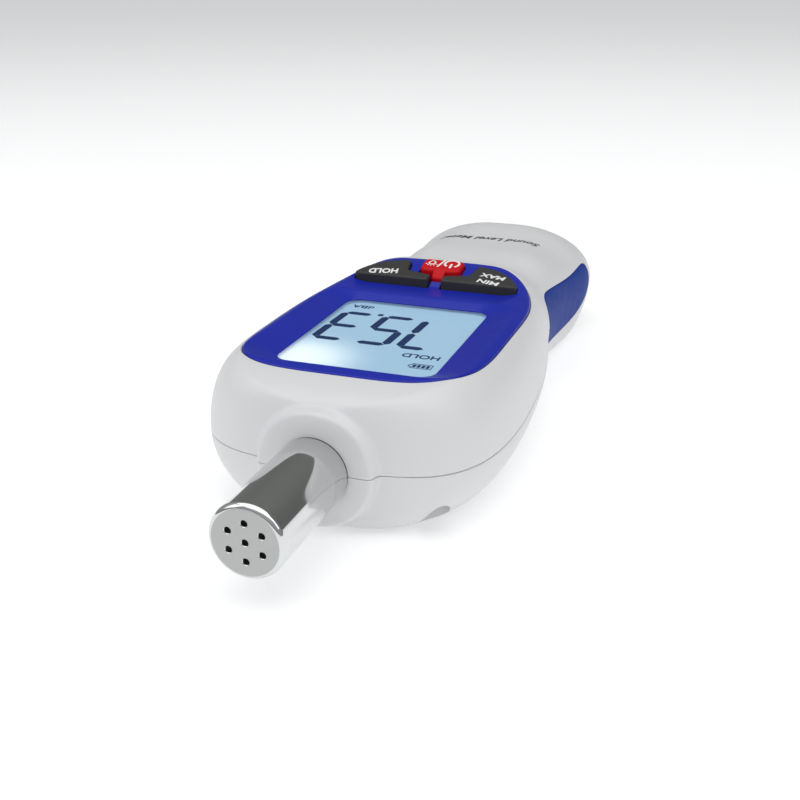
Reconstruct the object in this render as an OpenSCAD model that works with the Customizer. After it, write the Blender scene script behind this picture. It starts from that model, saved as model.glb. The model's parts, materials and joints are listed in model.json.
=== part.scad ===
// Handheld sound level meter: a two-shell case with a microphone tube at one end,
// a framed display with three keys, side grips, and a battery bay in the handle.
// +Z is up from the table, +Y runs from the microphone to the handle's end, and the
// origin is the middle of the whole meter's underside.

/* [Case] */
// Height of the parting line and of the microphone's axis
parting_z = 12.5; // [12.4:0.1:12.6]
// Thickness of the case wall
wall = 2.2; // [2.0:0.1:2.3]
// Thickness of the inlaid side grips
grip_thickness = 1.2; // [1.0:0.1:1.3]

/* [Display] */
// Width of the part of the display that shows
view_w = 30; // [28:0.5:31]
// Length of the part of the display that shows
view_l = 38.4; // [36:0.4:39.2]

/* [Keys] */
// Distance that a key goes down
key_travel = 0.6; // [0.4:0.1:0.7]
// Height of the two dark keys' tops at their front edge
key_top_z = 27.7; // [27.4:0.1:28]
// Height of the power key's top at its back edge
power_top_z = 29.8; // [29.6:0.1:30]

/* [Microphone] */
// Outer diameter of the microphone tube, a half-inch instrument size
mic_d = 12.7; // [12.5:0.1:12.8]
// Length of the tube, with the part inside the case
mic_tube_l = 36.2; // [35:0.2:36.4]

/* [Battery] */
// Diameter of one AAA cell
cell_d = 10.5; // [10.1:0.1:10.5]
// Length of one AAA cell with its positive button
cell_l = 44.5; // [43.5:0.1:44.5]

/* [Hidden] */

ROUND = 48;
GAP = 0.15;

// Case: one row per station, as [y, half width, flat half width of the front,
// rise above the parting line, drop below it, flat half width of the back]
STATIONS = [
    [-55.2, 8, 4, 6, 6, 4],
    [-55.2, 12, 8, 10.5, 8.5, 7.5],
    [-52, 22, 13.5, 13, 12.5, 7],
    [-44, 27, 19.3, 14.5, 12.5, 16],
    [-29, 28.7, 20.5, 13.6, 12.5, 17.5],
    [-9, 27.8, 20.5, 13.8, 12.5, 16.5],
    [9, 25.4, 18.5, 13.7, 11.6, 15.4],
    [21, 22.2, 8, 18.1, 11, 14.6],
    [32, 20.95, 6, 11, 11.1, 15.6],
    [41, 20.6, 11, 13.4, 11.5, 17],
    [55, 21.8, 6.3, 12.1, 12.6, 19],
    [69, 23.6, 2.3, 14.6, 12.6, 19],
    [79, 21, 1, 9.4, 9, 11],
    [82.7, 12, 2, 5, 5.5, 6.5],
    [82.7, 4, 1, 2, 2, 2]
];
// How square the corners of the case's section are, in front of and behind the parting line
FRONT_POWER = 2.1;
BACK_POWER = 1.9;
ROWS_PER_SPAN = 2;
QUARTER_STEPS = 8;
// Underside of the floor that carries the bezel, and the floor's top
ceiling_z = 22.2;
bezel_floor_z = 23.6;

// Collar that the microphone tube leaves the case through
collar_y = -57.8;
collar_r = 10.6;
collar_round = 1.6;
collar_back_y = -53.6;

// Bezel outline: a superellipse, squarer in front of its middle than behind it
bezel_mid_y = -17.4;
bezel_half_w = 22.9;
bezel_reach_front = 30.2;
bezel_reach_back = 36;
SQUARE_POWER = 4.3;
SOFT_POWER = 3.5;

// Display stack, from the window down to the board
view_y = -21.6;
view_corner = 3;
window_top_z = 24.6;
window_t = 0.5;
window_margin = 1.2;
lip_z = 24.8;
dish_rise = 2.25;
dish_side = 10;
dish_end = 5.1;
dish_shift = -0.4;
dish_corner = 10.2;
glass_w = 35;
glass_l = 43;
glass_top_z = 24.05;
glass_t = 2;
frame_wall = 1;
pcb_top_z = 18.1;
pcb_t = 1.6;
pcb_bottom_z = pcb_top_z - pcb_t;
pcb_half_w = 22.3;
pcb_reach_front = 28;
pcb_reach_back = 36;
zebra_w = 2.4;
led_l = 1.6;
led_h = 1.2;

// Keys
key_front_y = 7.1;
key_field_half_w = 20.7;
key_field_reach = 33;
arm_x = 1.5;
arm_back_y = 9.3;
notch_x = 6.9;
notch_y = 10.6;
key_corner_x = 7.7;
key_gap = 0.25;
key_slope = 0.185;
key_flange = 0.7;
flange_top_z = 21.9;
flange_t = 1;
flange_reach_x = 17;
power_half_w = 4.5;
power_front_y = 11;
power_back_y = 15.9;
power_tongue_w = 2.4;
power_tongue_y = 8.6;
POWER_SWITCH = [0, 13.6];
SIDE_SWITCH = [11, 10.5];
switch_w = 6;
switch_h = 1.6;
plunger_r = 1;

// Microphone
mic_face_y = -82.7;
mic_r = mic_d / 2;
mic_bore_r = mic_r - 0.75;
mic_edge_round = 1;
mic_free_l = 24.6;
mic_seat_r = mic_r - 0.25;
mic_face_t = 1;
mic_hole_r = 0.55;
mic_hole_ring_r = 3.2;
capsule_r = 4.8;
capsule_l = 5.6;
capsule_face_y = mic_face_y + mic_face_t + 0.4;
holder_front_y = -52.6;
holder_l = 5;
holder_r = 8.4;
saddle_half_w = 11;
saddle_y = -51.4;
saddle_t = 2;

// Side grips: control points of the outline, as [y, z]; the point given three times is a sharp corner
GRIP_OUTLINE = [
    [27, 19], [33, 19.5], [44, 18.3], [55, 17.4], [64, 18.3], [68.5, 17.5], [68.5, 11],
    [64, 8], [56, 6.2], [45, 6], [35, 6.6], [27.2, 8], [27.2, 8], [27.2, 8], [26.7, 14]
];
grip_inner_x = 12;

// Battery bay
door_half_w = 17;
door_front_y = 27;
door_top_z = 3.2;
door_step_y = 75.3;
door_step_z = 5;
door_end_y = 77;
door_end_z = 8;
tab_x = 5.35;
tab_w = 2.6;
tab_z = 3.9;
tab_t = 1;
cell_pitch = 10.7;
cell_z = 8.75;
bay_front_y = 26.6;
bay_back_y = 75.4;
holder_wall = 1.2;
holder_half_w = 17.2;
holder_bottom_z = 5.2;
holder_top_z = 15.2;
contact_t = 0.4;
button_l = 0.8;
button_r = 1.9;
spring_wire_r = 0.35;
spring_turns = 2.5;

// Fasteners, as [x, y]
CASE_SCREWS = [[18.4, -48.5], [-18.4, -48.5], [13, 21.6], [-13, 21.6]];
PCB_SCREWS = [[20.4, -34], [-20.4, -34], [20.4, -6], [-20.4, -6]];
screw_r = 1.2;
screw_head_r = 2.3;
screw_seat_z = 8.2;
screw_tip_z = 20;
small_screw_r = 0.8;
small_head_r = 1.5;
thread_gap = 0.05;

// ---- shared geometry ----

function spline_weights(s) =
    [pow(1 - s, 3), 3 * pow(s, 3) - 6 * s * s + 4, 1 + 3 * s + 3 * s * s - 3 * pow(s, 3), pow(s, 3)] / 6;

// Points of a uniform cubic B-spline through the control rows p, n to a span
function spline(p, n) =
    let (spans = len(p) - 3)
    [for (t = [0 : spans * n])
        let (i = min(floor(t / n), spans - 1))
        spline_weights(t / n - i) * [p[i], p[i + 1], p[i + 2], p[i + 3]]];

function closed_spline(p, n) =
    let (wrapped = concat(p, [p[0], p[1], p[2]]), points = spline(wrapped, n))
    [for (k = [0 : len(points) - 2]) points[k]];

last_row = STATIONS[len(STATIONS) - 1];
SKIN_ROWS = spline(concat([STATIONS[0]], STATIONS, [last_row]), ROWS_PER_SPAN);

// The same row with its section pulled in by d, and its rise kept under the limit
function inset_row(row, d, limit) = [
    row[0], row[1] - d, min(row[2], row[1] - d - 1), min(row[3] - d, limit),
    row[4] - d, min(row[5], row[1] - d - 1)
];

function rows_between(low, high) = [for (row = SKIN_ROWS) if (row[0] > low && row[0] < high) row];

function quarter(half_w, flat, rise, power) = [
    for (k = [0 : QUARTER_STEPS])
        let (t = 90 * k / QUARTER_STEPS)
        [flat + (half_w - flat) * pow(cos(t), 2 / power), rise * pow(sin(t), 2 / power)]
];

// Half of the case's section on one side of the parting line: side is 1 for the front
// and -1 for the back, and skirt carries the section past the parting line
function half_ring(row, side, skirt) =
    let (
        curve = side > 0 ? quarter(row[1], row[2], row[3], FRONT_POWER)
                         : quarter(row[1], row[5], row[4], BACK_POWER),
        edge = skirt > 0 ? concat([[row[1], -skirt]], curve) : curve
    )
    concat(
        [for (p = edge) [side * p[0], row[0], parting_z + side * p[1]]],
        [for (k = [len(edge) - 1 : -1 : 0]) [-side * edge[k][0], row[0], parting_z + side * edge[k][1]]]
    );

function full_ring(row) =
    let (back = half_ring(row, -1, 0))
    concat(half_ring(row, 1, 0), [for (k = [1 : len(back) - 2]) back[k]]);

function half_rings(rows, side, skirt) = [for (row = rows) half_ring(row, side, skirt)];

// Solid skinned over rings that all have the same number of points
module loft(rings) {
    m = len(rings[0]);
    n = len(rings);
    sides = [
        for (i = [0 : n - 2]) for (j = [0 : m - 1])
            let (a = i * m + j, b = i * m + (j + 1) % m)
            each [[a, b, b + m], [a, b + m, a + m]]
    ];
    front = [[for (j = [m - 1 : -1 : 0]) j]];
    back = [[for (j = [0 : m - 1]) (n - 1) * m + j]];
    polyhedron(points = [for (ring = rings) each ring], faces = concat(sides, front, back), convexity = 6);
}

function skin_half(side) = half_rings(SKIN_ROWS, side, 0);

cavity_source = rows_between(STATIONS[0][0] + wall, last_row[0] - wall);
cavity_rows = [for (row = cavity_source) inset_row(row, wall, ceiling_z - parting_z)];

function cavity_half(side) = half_rings(cavity_rows, side, 1);

handle_source = rows_between(16, 79);

function handle_rings(d) = [for (row = handle_source) full_ring(inset_row(row, d, 99))];

// Superellipse around the bezel's middle, from angle a0 to a1; the part ahead of the
// middle is squarer than the part behind it
function field_point(half_w, front, back, a) =
    let (
        power = sin(a) < 0 ? SQUARE_POWER : SOFT_POWER,
        reach = sin(a) < 0 ? front : back
    )
    [
        sign(cos(a)) * half_w * pow(abs(cos(a)), 2 / power),
        bezel_mid_y + sign(sin(a)) * reach * pow(abs(sin(a)), 2 / power)
    ];

module field(half_w, front, back) {
    steps = 72;
    polygon([for (k = [0 : steps - 1]) field_point(half_w, front, back, 360 * k / steps)]);
}

module rounded_rect(w, l, r) {
    union() {
        square([w - 2 * r, l], center = true);
        square([w, l - 2 * r], center = true);
        for (sx = [-1, 1]) for (sy = [-1, 1])
            translate([sx * (w / 2 - r), sy * (l / 2 - r)]) circle(r = r, $fn = 32);
    }
}

// Block from one corner to the opposite corner
module block(low, high) {
    translate(low) cube(high - low);
}

module post(x, y, r, low, high) {
    translate([x, y, low]) cylinder(h = high - low, r = r, $fn = ROUND);
}

// Round bar along +Y
module bar(x, y, z, r, l) {
    translate([x, y, z]) rotate([-90, 0, 0]) cylinder(h = l, r = r, $fn = ROUND);
}

// Round wire along a list of points
module wire(path, r) {
    n = len(path);
    sides = 8;
    function tangent(k) = path[min(k + 1, n - 1)] - path[max(k - 1, 0)];
    function across(t) = abs(t[2]) > 0.9 * norm(t) ? [1, 0, 0] : [0, 0, 1];
    rings = [for (k = [0 : n - 1])
        let (
            t = tangent(k) / norm(tangent(k)),
            u = cross(t, across(t)) / norm(cross(t, across(t))),
            v = cross(t, u)
        )
        [for (a = [0 : sides - 1]) path[k] + r * (cos(360 * a / sides) * v + sin(360 * a / sides) * u)]
    ];
    loft(rings);
}

// ---- case ----

module collar(side) {
    half_turn = side > 0 ? 0 : 180;
    translate([0, collar_y, parting_z])
        rotate([0, half_turn, 0])
            rotate([-90, 0, 0])
                rotate([0, 0, 180])
                    rotate_extrude(angle = 180, $fn = ROUND)
                        polygon(concat(
                            [[0, 0]],
                            [for (a = [-90 : 15 : 0]) [
                                collar_r - collar_round + collar_round * cos(a),
                                collar_round + collar_round * sin(a)
                            ]],
                            [
                                [collar_r, 1.8], [collar_r + 1.4, 2.7],
                                [collar_r + 1.4, collar_back_y - collar_y]
                            ],
                            [[0, collar_back_y - collar_y]]
                        ));
}

// Bore for the tube's narrow end, and the wider pocket for the rubber holder behind it
module mic_bore() {
    bar(0, collar_y - 1, parting_z, mic_seat_r + GAP, 12);
    bar(0, holder_front_y - GAP, parting_z, holder_r + thread_gap, saddle_y - holder_front_y + 1);
}

module saddle(side) {
    far_z = parting_z + side * parting_z;
    difference() {
        block(
            [-saddle_half_w, saddle_y, min(parting_z, far_z)],
            [saddle_half_w, saddle_y + saddle_t, max(parting_z, far_z)]
        );
        bar(0, saddle_y - 1, parting_z, holder_r + thread_gap, saddle_t + 2);
    }
}

module grip_prism(side, grow) {
    outline = closed_spline(GRIP_OUTLINE, 3);
    mid = [47.5, 12.8];
    scale_up = [1 + grow / 20, 1 + grow / 6];
    translate([side > 0 ? grip_inner_x : -40, 0, 0])
        rotate([90, 0, 90])
            linear_extrude(height = 40 - grip_inner_x)
                polygon([for (p = outline) [
                    mid[0] + (p[0] - mid[0]) * scale_up[0],
                    mid[1] + (p[1] - mid[1]) * scale_up[1]
                ]]);
}

module grip_pockets() {
    difference() {
        union() {
            grip_prism(1, thread_gap);
            grip_prism(-1, thread_gap);
        }
        loft(handle_rings(grip_thickness + thread_gap));
    }
}

module key_openings(grow) {
    dark_key_outline(grow, grow);
    mirror([1, 0]) dark_key_outline(grow, grow);
    power_outline(grow);
}

module front_shell() {
    color("whitesmoke")
    difference() {
        union() {
            loft(skin_half(1));
            collar(1);
        }
        difference() {
            loft(cavity_half(1));
            for (p = CASE_SCREWS) post(p[0], p[1], screw_r + 1.7, parting_z, 30);
            for (p = PCB_SCREWS) post(p[0], p[1], small_screw_r + 0.9, pcb_top_z, 30);
            saddle(1);
        }
        mic_bore();
        translate([0, 0, bezel_floor_z])
            linear_extrude(height = 10)
                field(
                    bezel_half_w + thread_gap,
                    bezel_reach_front + thread_gap,
                    bezel_reach_back + thread_gap
                );
        block(
            [-glass_w / 2 - 0.5, view_y - glass_l / 2 - 0.5, ceiling_z - 1],
            [glass_w / 2 + 0.5, view_y + glass_l / 2 + 0.5, 30]
        );
        translate([0, 0, ceiling_z - 1]) linear_extrude(height = 8) key_openings(key_gap + 0.1);
        grip_pockets();
        for (p = CASE_SCREWS) post(p[0], p[1], screw_r + thread_gap, parting_z - 1, screw_tip_z + 0.5);
        for (p = PCB_SCREWS) post(p[0], p[1], small_screw_r + thread_gap, pcb_bottom_z, 21.8);
    }
}

module door_region(grow) {
    block([-door_half_w - grow, door_front_y - grow, -5], [door_half_w + grow, 90, door_top_z + grow]);
    block([-door_half_w - grow, door_step_y - grow, -5], [door_half_w + grow, 90, door_step_z + grow]);
    block([-door_half_w - grow, door_end_y - grow, -5], [door_half_w + grow, 90, door_end_z + grow]);
}

module rear_shell() {
    color("whitesmoke")
    difference() {
        union() {
            loft(skin_half(-1));
            collar(-1);
        }
        difference() {
            loft(cavity_half(-1));
            for (p = CASE_SCREWS) post(p[0], p[1], screw_head_r + 1.3, -5, parting_z);
            saddle(-1);
        }
        block(
            [-holder_half_w - GAP, bay_front_y - holder_wall - GAP, holder_bottom_z - GAP],
            [holder_half_w + GAP, bay_back_y + holder_wall + GAP, parting_z + 2]
        );
        block([-door_half_w, door_front_y - GAP, door_top_z], [door_half_w, bay_back_y, holder_bottom_z]);
        mic_bore();
        door_region(GAP);
        grip_pockets();
        for (p = CASE_SCREWS) post(p[0], p[1], screw_head_r + 0.3, -1, screw_seat_z);
        for (p = CASE_SCREWS) post(p[0], p[1], screw_r + GAP, -1, parting_z + 2);
    }
}

module grip(side) {
    color("royalblue")
    difference() {
        intersection() {
            grip_prism(side, 0);
            loft(handle_rings(0));
        }
        loft(handle_rings(grip_thickness));
    }
}

module grip_left() {
    grip(1);
}

module grip_right() {
    grip(-1);
}

module case_screws() {
    color("silver")
    for (p = CASE_SCREWS)
        difference() {
            union() {
                post(p[0], p[1], screw_head_r, screw_seat_z - 1.6, screw_seat_z);
                post(p[0], p[1], screw_r, screw_seat_z - 0.2, screw_tip_z);
            }
            block([p[0] - 1.5, p[1] - 0.3, 0], [p[0] + 1.5, p[1] + 0.3, screw_seat_z - 0.8]);
            block([p[0] - 0.3, p[1] - 1.5, 0], [p[0] + 0.3, p[1] + 1.5, screw_seat_z - 0.8]);
        }
}

// ---- display ----

// Side view of the bezel, under the case's own front line
module bezel_slab() {
    rows = rows_between(bezel_mid_y - bezel_reach_front - 6, bezel_mid_y + bezel_reach_back + 8);
    crown = [for (row = rows) [row[0], parting_z + row[3]]];
    rotate([90, 0, 90])
        translate([0, 0, -bezel_half_w - 1])
            linear_extrude(height = 2 * bezel_half_w + 2)
                polygon(concat(
                    [[crown[0][0], bezel_floor_z]],
                    crown,
                    [[crown[len(crown) - 1][0], bezel_floor_z]]
                ));
}

// Funnel that slopes from the bezel's face down to the window
module bezel_dish() {
    hull() {
        translate([0, view_y, lip_z]) linear_extrude(height = 0.01) rounded_rect(view_w, view_l, view_corner);
        translate([0, view_y + dish_shift, lip_z + dish_rise])
            linear_extrude(height = 0.01)
                rounded_rect(view_w + 2 * dish_side, view_l + 2 * dish_end, dish_corner);
    }
}

module bezel() {
    color("mediumblue")
    difference() {
        intersection() {
            bezel_slab();
            translate([0, 0, bezel_floor_z - 1])
                linear_extrude(height = 10)
                    field(bezel_half_w, bezel_reach_front, bezel_reach_back);
        }
        bezel_dish();
        translate([0, view_y, bezel_floor_z - 1])
            linear_extrude(height = 8) rounded_rect(view_w, view_l, view_corner);
        translate([0, view_y, bezel_floor_z - 1])
            linear_extrude(height = window_top_z - bezel_floor_z + 1)
                rounded_rect(
                    view_w + 2 * window_margin + 0.2,
                    view_l + 2 * window_margin + 0.2,
                    view_corner + window_margin
                );
        block(
            [-glass_w / 2 - 0.5, view_y - glass_l / 2 - 0.5, bezel_floor_z - 1],
            [glass_w / 2 + 0.5, view_y + glass_l / 2 + 0.5, window_top_z - window_t]
        );
        translate([0, 0, bezel_floor_z - 1]) linear_extrude(height = 10) key_openings(key_gap);
    }
}

module lcd_window() {
    color("lightcyan", 0.4)
    translate([0, view_y, window_top_z - window_t])
        linear_extrude(height = window_t)
            rounded_rect(view_w + 2 * window_margin, view_l + 2 * window_margin, view_corner + window_margin);
}

module lcd_glass() {
    color("lightblue")
    block(
        [-glass_w / 2, view_y - glass_l / 2, glass_top_z - glass_t],
        [glass_w / 2, view_y + glass_l / 2, glass_top_z]
    );
}

diffuser_back_y = view_y + glass_l / 2 - zebra_w - 1.2;
diffuser_front_y = view_y - glass_l / 2 + led_l + 0.6;

module backlight_diffuser() {
    color("white")
    block(
        [-glass_w / 2 + 0.2, diffuser_front_y, pcb_top_z + 0.1],
        [glass_w / 2 - 0.2, diffuser_back_y, glass_top_z - glass_t]
    );
}

module backlight_leds() {
    color("lightskyblue")
    for (x = [-10, 0, 10])
        block(
            [x - 1.5, diffuser_front_y - led_l - 0.1, pcb_top_z],
            [x + 1.5, diffuser_front_y - 0.1, pcb_top_z + led_h]
        );
}

module lcd_frame() {
    color("ivory")
    difference() {
        block(
            [-glass_w / 2 - frame_wall, view_y - glass_l / 2 - frame_wall, pcb_top_z],
            [glass_w / 2 + frame_wall, view_y + glass_l / 2 + frame_wall, ceiling_z - 0.1]
        );
        block(
            [-glass_w / 2 - 0.1, view_y - glass_l / 2 - 0.1, pcb_top_z - 1],
            [glass_w / 2 + 0.1, view_y + glass_l / 2 + 0.1, ceiling_z + 1]
        );
    }
}

module zebra_strip() {
    color("dimgray")
    block(
        [-glass_w / 2 + 1, diffuser_back_y + 0.4, pcb_top_z],
        [glass_w / 2 - 1, diffuser_back_y + 0.4 + zebra_w, glass_top_z - glass_t]
    );
}

// ---- electronics ----

module main_pcb() {
    color("seagreen")
    difference() {
        translate([0, 0, pcb_bottom_z])
            linear_extrude(height = pcb_t)
                field(pcb_half_w, pcb_reach_front, pcb_reach_back);
        for (p = PCB_SCREWS) post(p[0], p[1], small_screw_r + 0.2, pcb_bottom_z - 1, pcb_top_z + 1);
    }
}

module pcb_screws() {
    color("silver")
    for (p = PCB_SCREWS) {
        post(p[0], p[1], small_head_r, pcb_bottom_z - 1.2, pcb_bottom_z);
        post(p[0], p[1], small_screw_r, pcb_bottom_z - 0.2, 21.3);
    }
}

// Flat package under the board, with its leads
module chip(x, y, w, l, h, leads) {
    pitch = 1.27;
    block([x - w / 2, y - l / 2, pcb_bottom_z - h - 0.1], [x + w / 2, y + l / 2, pcb_bottom_z - 0.1]);
    for (side = [-1, 1]) for (k = [0 : leads - 1]) {
        lead_y = y + (k - (leads - 1) / 2) * pitch;
        block(
            [x + side * (w / 2 + 0.4) - 0.6, lead_y - 0.2, pcb_bottom_z - 0.7],
            [x + side * (w / 2 + 0.4) + 0.6, lead_y + 0.2, pcb_bottom_z]
        );
    }
}

module mcu_chip() {
    color("black") chip(0, -16, 10, 10, 1.6, 7);
}

module amplifier_chips() {
    color("black") {
        chip(-9, -34, 4, 5, 1.5, 4);
        chip(4, -34, 4, 5, 1.5, 4);
    }
}

module capacitors() {
    color("darkslateblue")
    for (p = [[13, -32, 5.5], [-14, -20, 5.5], [13, 4, 7], [-13, 4, 7]])
        post(p[0], p[1], 2.5, pcb_bottom_z - p[2], pcb_bottom_z);
}

module crystal() {
    color("silver")
    translate([12, -16, pcb_bottom_z - 3.2]) linear_extrude(height = 3.2) rounded_rect(4, 10, 1.9);
}

module resistors() {
    color("dimgray")
    for (k = [0 : 5]) {
        block([-6 + 2.4 * k, -26, pcb_bottom_z - 0.6], [-4.8 + 2.4 * k, -24, pcb_bottom_z]);
        block([-6 + 2.4 * k, -5, pcb_bottom_z - 0.6], [-4.8 + 2.4 * k, -3, pcb_bottom_z]);
    }
}

// ---- keys ----

// Outline of the key at +X; grow moves its outer edges out and gap its inner edges
module dark_key_outline(grow, gap) {
    half_w = key_field_half_w + grow;
    reach = key_field_reach + grow;
    front_y = key_front_y - grow;
    corner_x = key_corner_x - gap;
    a0 = asin(pow((front_y - bezel_mid_y) / reach, SOFT_POWER / 2));
    a1 = acos(pow(corner_x / half_w, SOFT_POWER / 2));
    steps = 12;
    polygon(concat(
        [[arm_x - gap, front_y]],
        [for (k = [0 : steps]) field_point(half_w, reach, reach, a0 + (a1 - a0) * k / steps)],
        [[notch_x - gap, notch_y + gap], [arm_x - gap, arm_back_y + gap]]
    ));
}

module power_outline(grow) {
    w = power_half_w + grow;
    chamfer = 1.2;
    front_y = power_front_y - grow;
    back_y = power_back_y + grow;
    tongue = power_tongue_w / 2 + min(grow, 0.3);
    polygon([
        [-tongue, power_tongue_y - grow], [tongue, power_tongue_y - grow], [tongue + 0.6, front_y],
        [w - chamfer, front_y], [w, front_y + chamfer],
        [w, back_y - chamfer], [w - chamfer, back_y],
        [chamfer - w, back_y], [-w, back_y - chamfer],
        [-w, front_y + chamfer], [chamfer - w, front_y], [-tongue - 0.6, front_y]
    ]);
}

// Everything below a key's top, which passes that height at that y and rises to the back
module under_key_top(y, top_z) {
    low_y = -10;
    high_y = 30;
    rotate([90, 0, 90])
        translate([0, 0, -30])
            linear_extrude(height = 60)
                polygon([
                    [low_y, flange_top_z], [high_y, flange_top_z],
                    [high_y, top_z + (high_y - y) * key_slope], [low_y, top_z + (low_y - y) * key_slope]
                ]);
}

module dark_key() {
    intersection() {
        translate([0, 0, flange_top_z]) linear_extrude(height = 10) dark_key_outline(0, 0);
        under_key_top(key_front_y, key_top_z);
    }
    translate([0, 0, flange_top_z - flange_t])
        linear_extrude(height = flange_t)
            intersection() {
                dark_key_outline(key_flange, 0);
                square([flange_reach_x, key_field_reach]);
            }
}

module key_min_max() {
    color("dimgray") dark_key();
}

module key_hold() {
    color("dimgray") mirror([1, 0, 0]) dark_key();
}

module key_power() {
    color("crimson") {
        intersection() {
            translate([0, 0, flange_top_z]) linear_extrude(height = 10) power_outline(0);
            under_key_top(power_back_y, power_top_z);
        }
        block(
            [-power_half_w - 0.6, power_front_y + 0.4, flange_top_z - flange_t],
            [power_half_w + 0.6, power_back_y + 0.4, flange_top_z]
        );
    }
}

switch_top_z = pcb_top_z + switch_h;

module switch_body(p) {
    difference() {
        block(
            [p[0] - switch_w / 2, p[1] - switch_w / 2, pcb_top_z],
            [p[0] + switch_w / 2, p[1] + switch_w / 2, switch_top_z]
        );
        post(p[0], p[1], plunger_r + 0.08, pcb_top_z + 0.4, switch_top_z + 1);
    }
}

module switch_bodies() {
    color("gray") {
        switch_body(POWER_SWITCH);
        switch_body(SIDE_SWITCH);
        switch_body([-SIDE_SWITCH[0], SIDE_SWITCH[1]]);
    }
}

module plunger(p) {
    color("black") post(p[0], p[1], plunger_r, switch_top_z - 0.5, flange_top_z - flange_t);
}

module plunger_power() {
    plunger(POWER_SWITCH);
}

module plunger_hold() {
    plunger([-SIDE_SWITCH[0], SIDE_SWITCH[1]]);
}

module plunger_min_max() {
    plunger(SIDE_SWITCH);
}

// ---- microphone ----

// Turned part about the microphone's axis; outline points are [radius, distance along +Y]
module turned(y, outline) {
    translate([0, y, parting_z]) rotate([-90, 0, 0]) rotate_extrude($fn = ROUND) polygon(outline);
}

module mic_tube() {
    color("silver")
    difference() {
        turned(mic_face_y, concat(
            [[0, 0]],
            [for (a = [-90 : 15 : 0]) [
                mic_r - mic_edge_round + mic_edge_round * cos(a),
                mic_edge_round + mic_edge_round * sin(a)
            ]],
            [
                [mic_r, mic_free_l], [mic_seat_r, mic_free_l],
                [mic_seat_r, mic_tube_l], [mic_bore_r, mic_tube_l],
                [mic_bore_r, mic_face_t], [0, mic_face_t]
            ]
        ));
        bar(0, mic_face_y - 1, parting_z, mic_hole_r, mic_face_t + 2);
        for (a = [0 : 60 : 300])
            bar(
                mic_hole_ring_r * sin(a), mic_face_y - 1, parting_z + mic_hole_ring_r * cos(a),
                mic_hole_r, mic_face_t + 2
            );
    }
}

module dust_screen() {
    color("dimgray") bar(0, mic_face_y + mic_face_t, parting_z, mic_bore_r - 0.05, 0.3);
}

module mic_capsule() {
    color("gainsboro") {
        bar(0, capsule_face_y, parting_z, capsule_r, capsule_l);
        for (x = [-1.3, 1.3]) bar(x, capsule_face_y + capsule_l - 0.1, parting_z, 0.4, 1.4);
    }
}

module capsule_sleeve() {
    color("black")
    turned(capsule_face_y, [
        [capsule_r, 0], [mic_bore_r - 0.05, 0],
        [mic_bore_r - 0.05, capsule_l - 0.6], [capsule_r, capsule_l - 0.6]
    ]);
}

module mic_holder() {
    color("darkslategray")
    turned(holder_front_y, [
        [mic_seat_r, 0], [holder_r, 0], [holder_r, holder_l - 1], [holder_r + 1, holder_l - 1],
        [holder_r + 1, holder_l], [mic_seat_r, holder_l]
    ]);
}

module mic_wires() {
    color("orangered")
    for (s = [-1, 1])
        wire(spline([
            [1.3 * s, -74.3, 12.5], [1.3 * s, -74.3, 12.5], [1.3 * s, -74.3, 12.5], [1.4 * s, -72, 12.5],
            [2.2 * s, -64, 11.6], [1.4 * s, -56, 12.8], [2 * s, -48, 12.4], [3 * s, -43.5, 12.4],
            [4.6 * s, -41.4, 14], [5 * s, -41, 16.4], [5 * s, -41, 16.4], [5 * s, -41, 16.4]
        ], 2), 0.4);
}

// ---- battery bay ----

module battery_door() {
    color("whitesmoke")
    union() {
        difference() {
            intersection() {
                loft(skin_half(-1));
                door_region(0);
            }
            loft(cavity_half(-1));
        }
        for (s = [-1, 1]) {
            block(
                [s * tab_x - tab_w / 2, door_front_y + 0.2, door_top_z - 0.4],
                [s * tab_x + tab_w / 2, door_front_y + 2.2, tab_z + tab_t]
            );
            block(
                [s * tab_x - tab_w / 2, door_front_y - 1.8, tab_z],
                [s * tab_x + tab_w / 2, door_front_y + 0.4, tab_z + tab_t]
            );
        }
    }
}

module battery_holder() {
    color("dimgray")
    difference() {
        block(
            [-holder_half_w, bay_front_y - holder_wall, holder_bottom_z],
            [holder_half_w, bay_back_y + holder_wall, holder_top_z]
        );
        block([-holder_half_w + 1, bay_front_y, 0], [holder_half_w - 1, bay_back_y, holder_top_z - 1]);
    }
}

CELL_X = [-cell_pitch, 0, cell_pitch];

// Each cell points the other way from its neighbour: 1 has its button towards +Y
function cell_way(k) = k % 2 == 0 ? 1 : -1;

function bay_y(way, from_button_end) =
    way > 0 ? bay_back_y - contact_t - from_button_end : bay_front_y + contact_t + from_button_end;

module cell(x, way) {
    body_l = cell_l - button_l;
    near = min(bay_y(way, button_l), bay_y(way, cell_l));
    bar(x, near, cell_z, cell_d / 2, body_l);
    bar(x, min(bay_y(way, 0), bay_y(way, button_l + 0.1)), cell_z, button_r, button_l + 0.1);
}

module batteries() {
    color("darkorange") for (k = [0 : 2]) cell(CELL_X[k], cell_way(k));
}

module battery_springs() {
    color("silver")
    for (k = [0 : 2]) {
        way = cell_way(k);
        near = bay_y(way, cell_l) - way * (spring_wire_r + 0.05);
        far = bay_y(-way, 0) + way * (spring_wire_r + 0.05);
        steps = spring_turns * 12;
        wire([for (t = [0 : steps])
            let (f = t / steps, r = 1.8 + 2 * f, a = 360 * spring_turns * f)
            [CELL_X[k] + r * cos(a), near + (far - near) * f, cell_z + r * sin(a)]
        ], spring_wire_r);
    }
}

module battery_contacts() {
    color("silver")
    for (x = CELL_X) for (y = [bay_front_y, bay_back_y - contact_t])
        block([x - 4.6, y, cell_z - 3.3], [x + 4.6, y + contact_t, cell_z + 4.4]);
}

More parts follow.
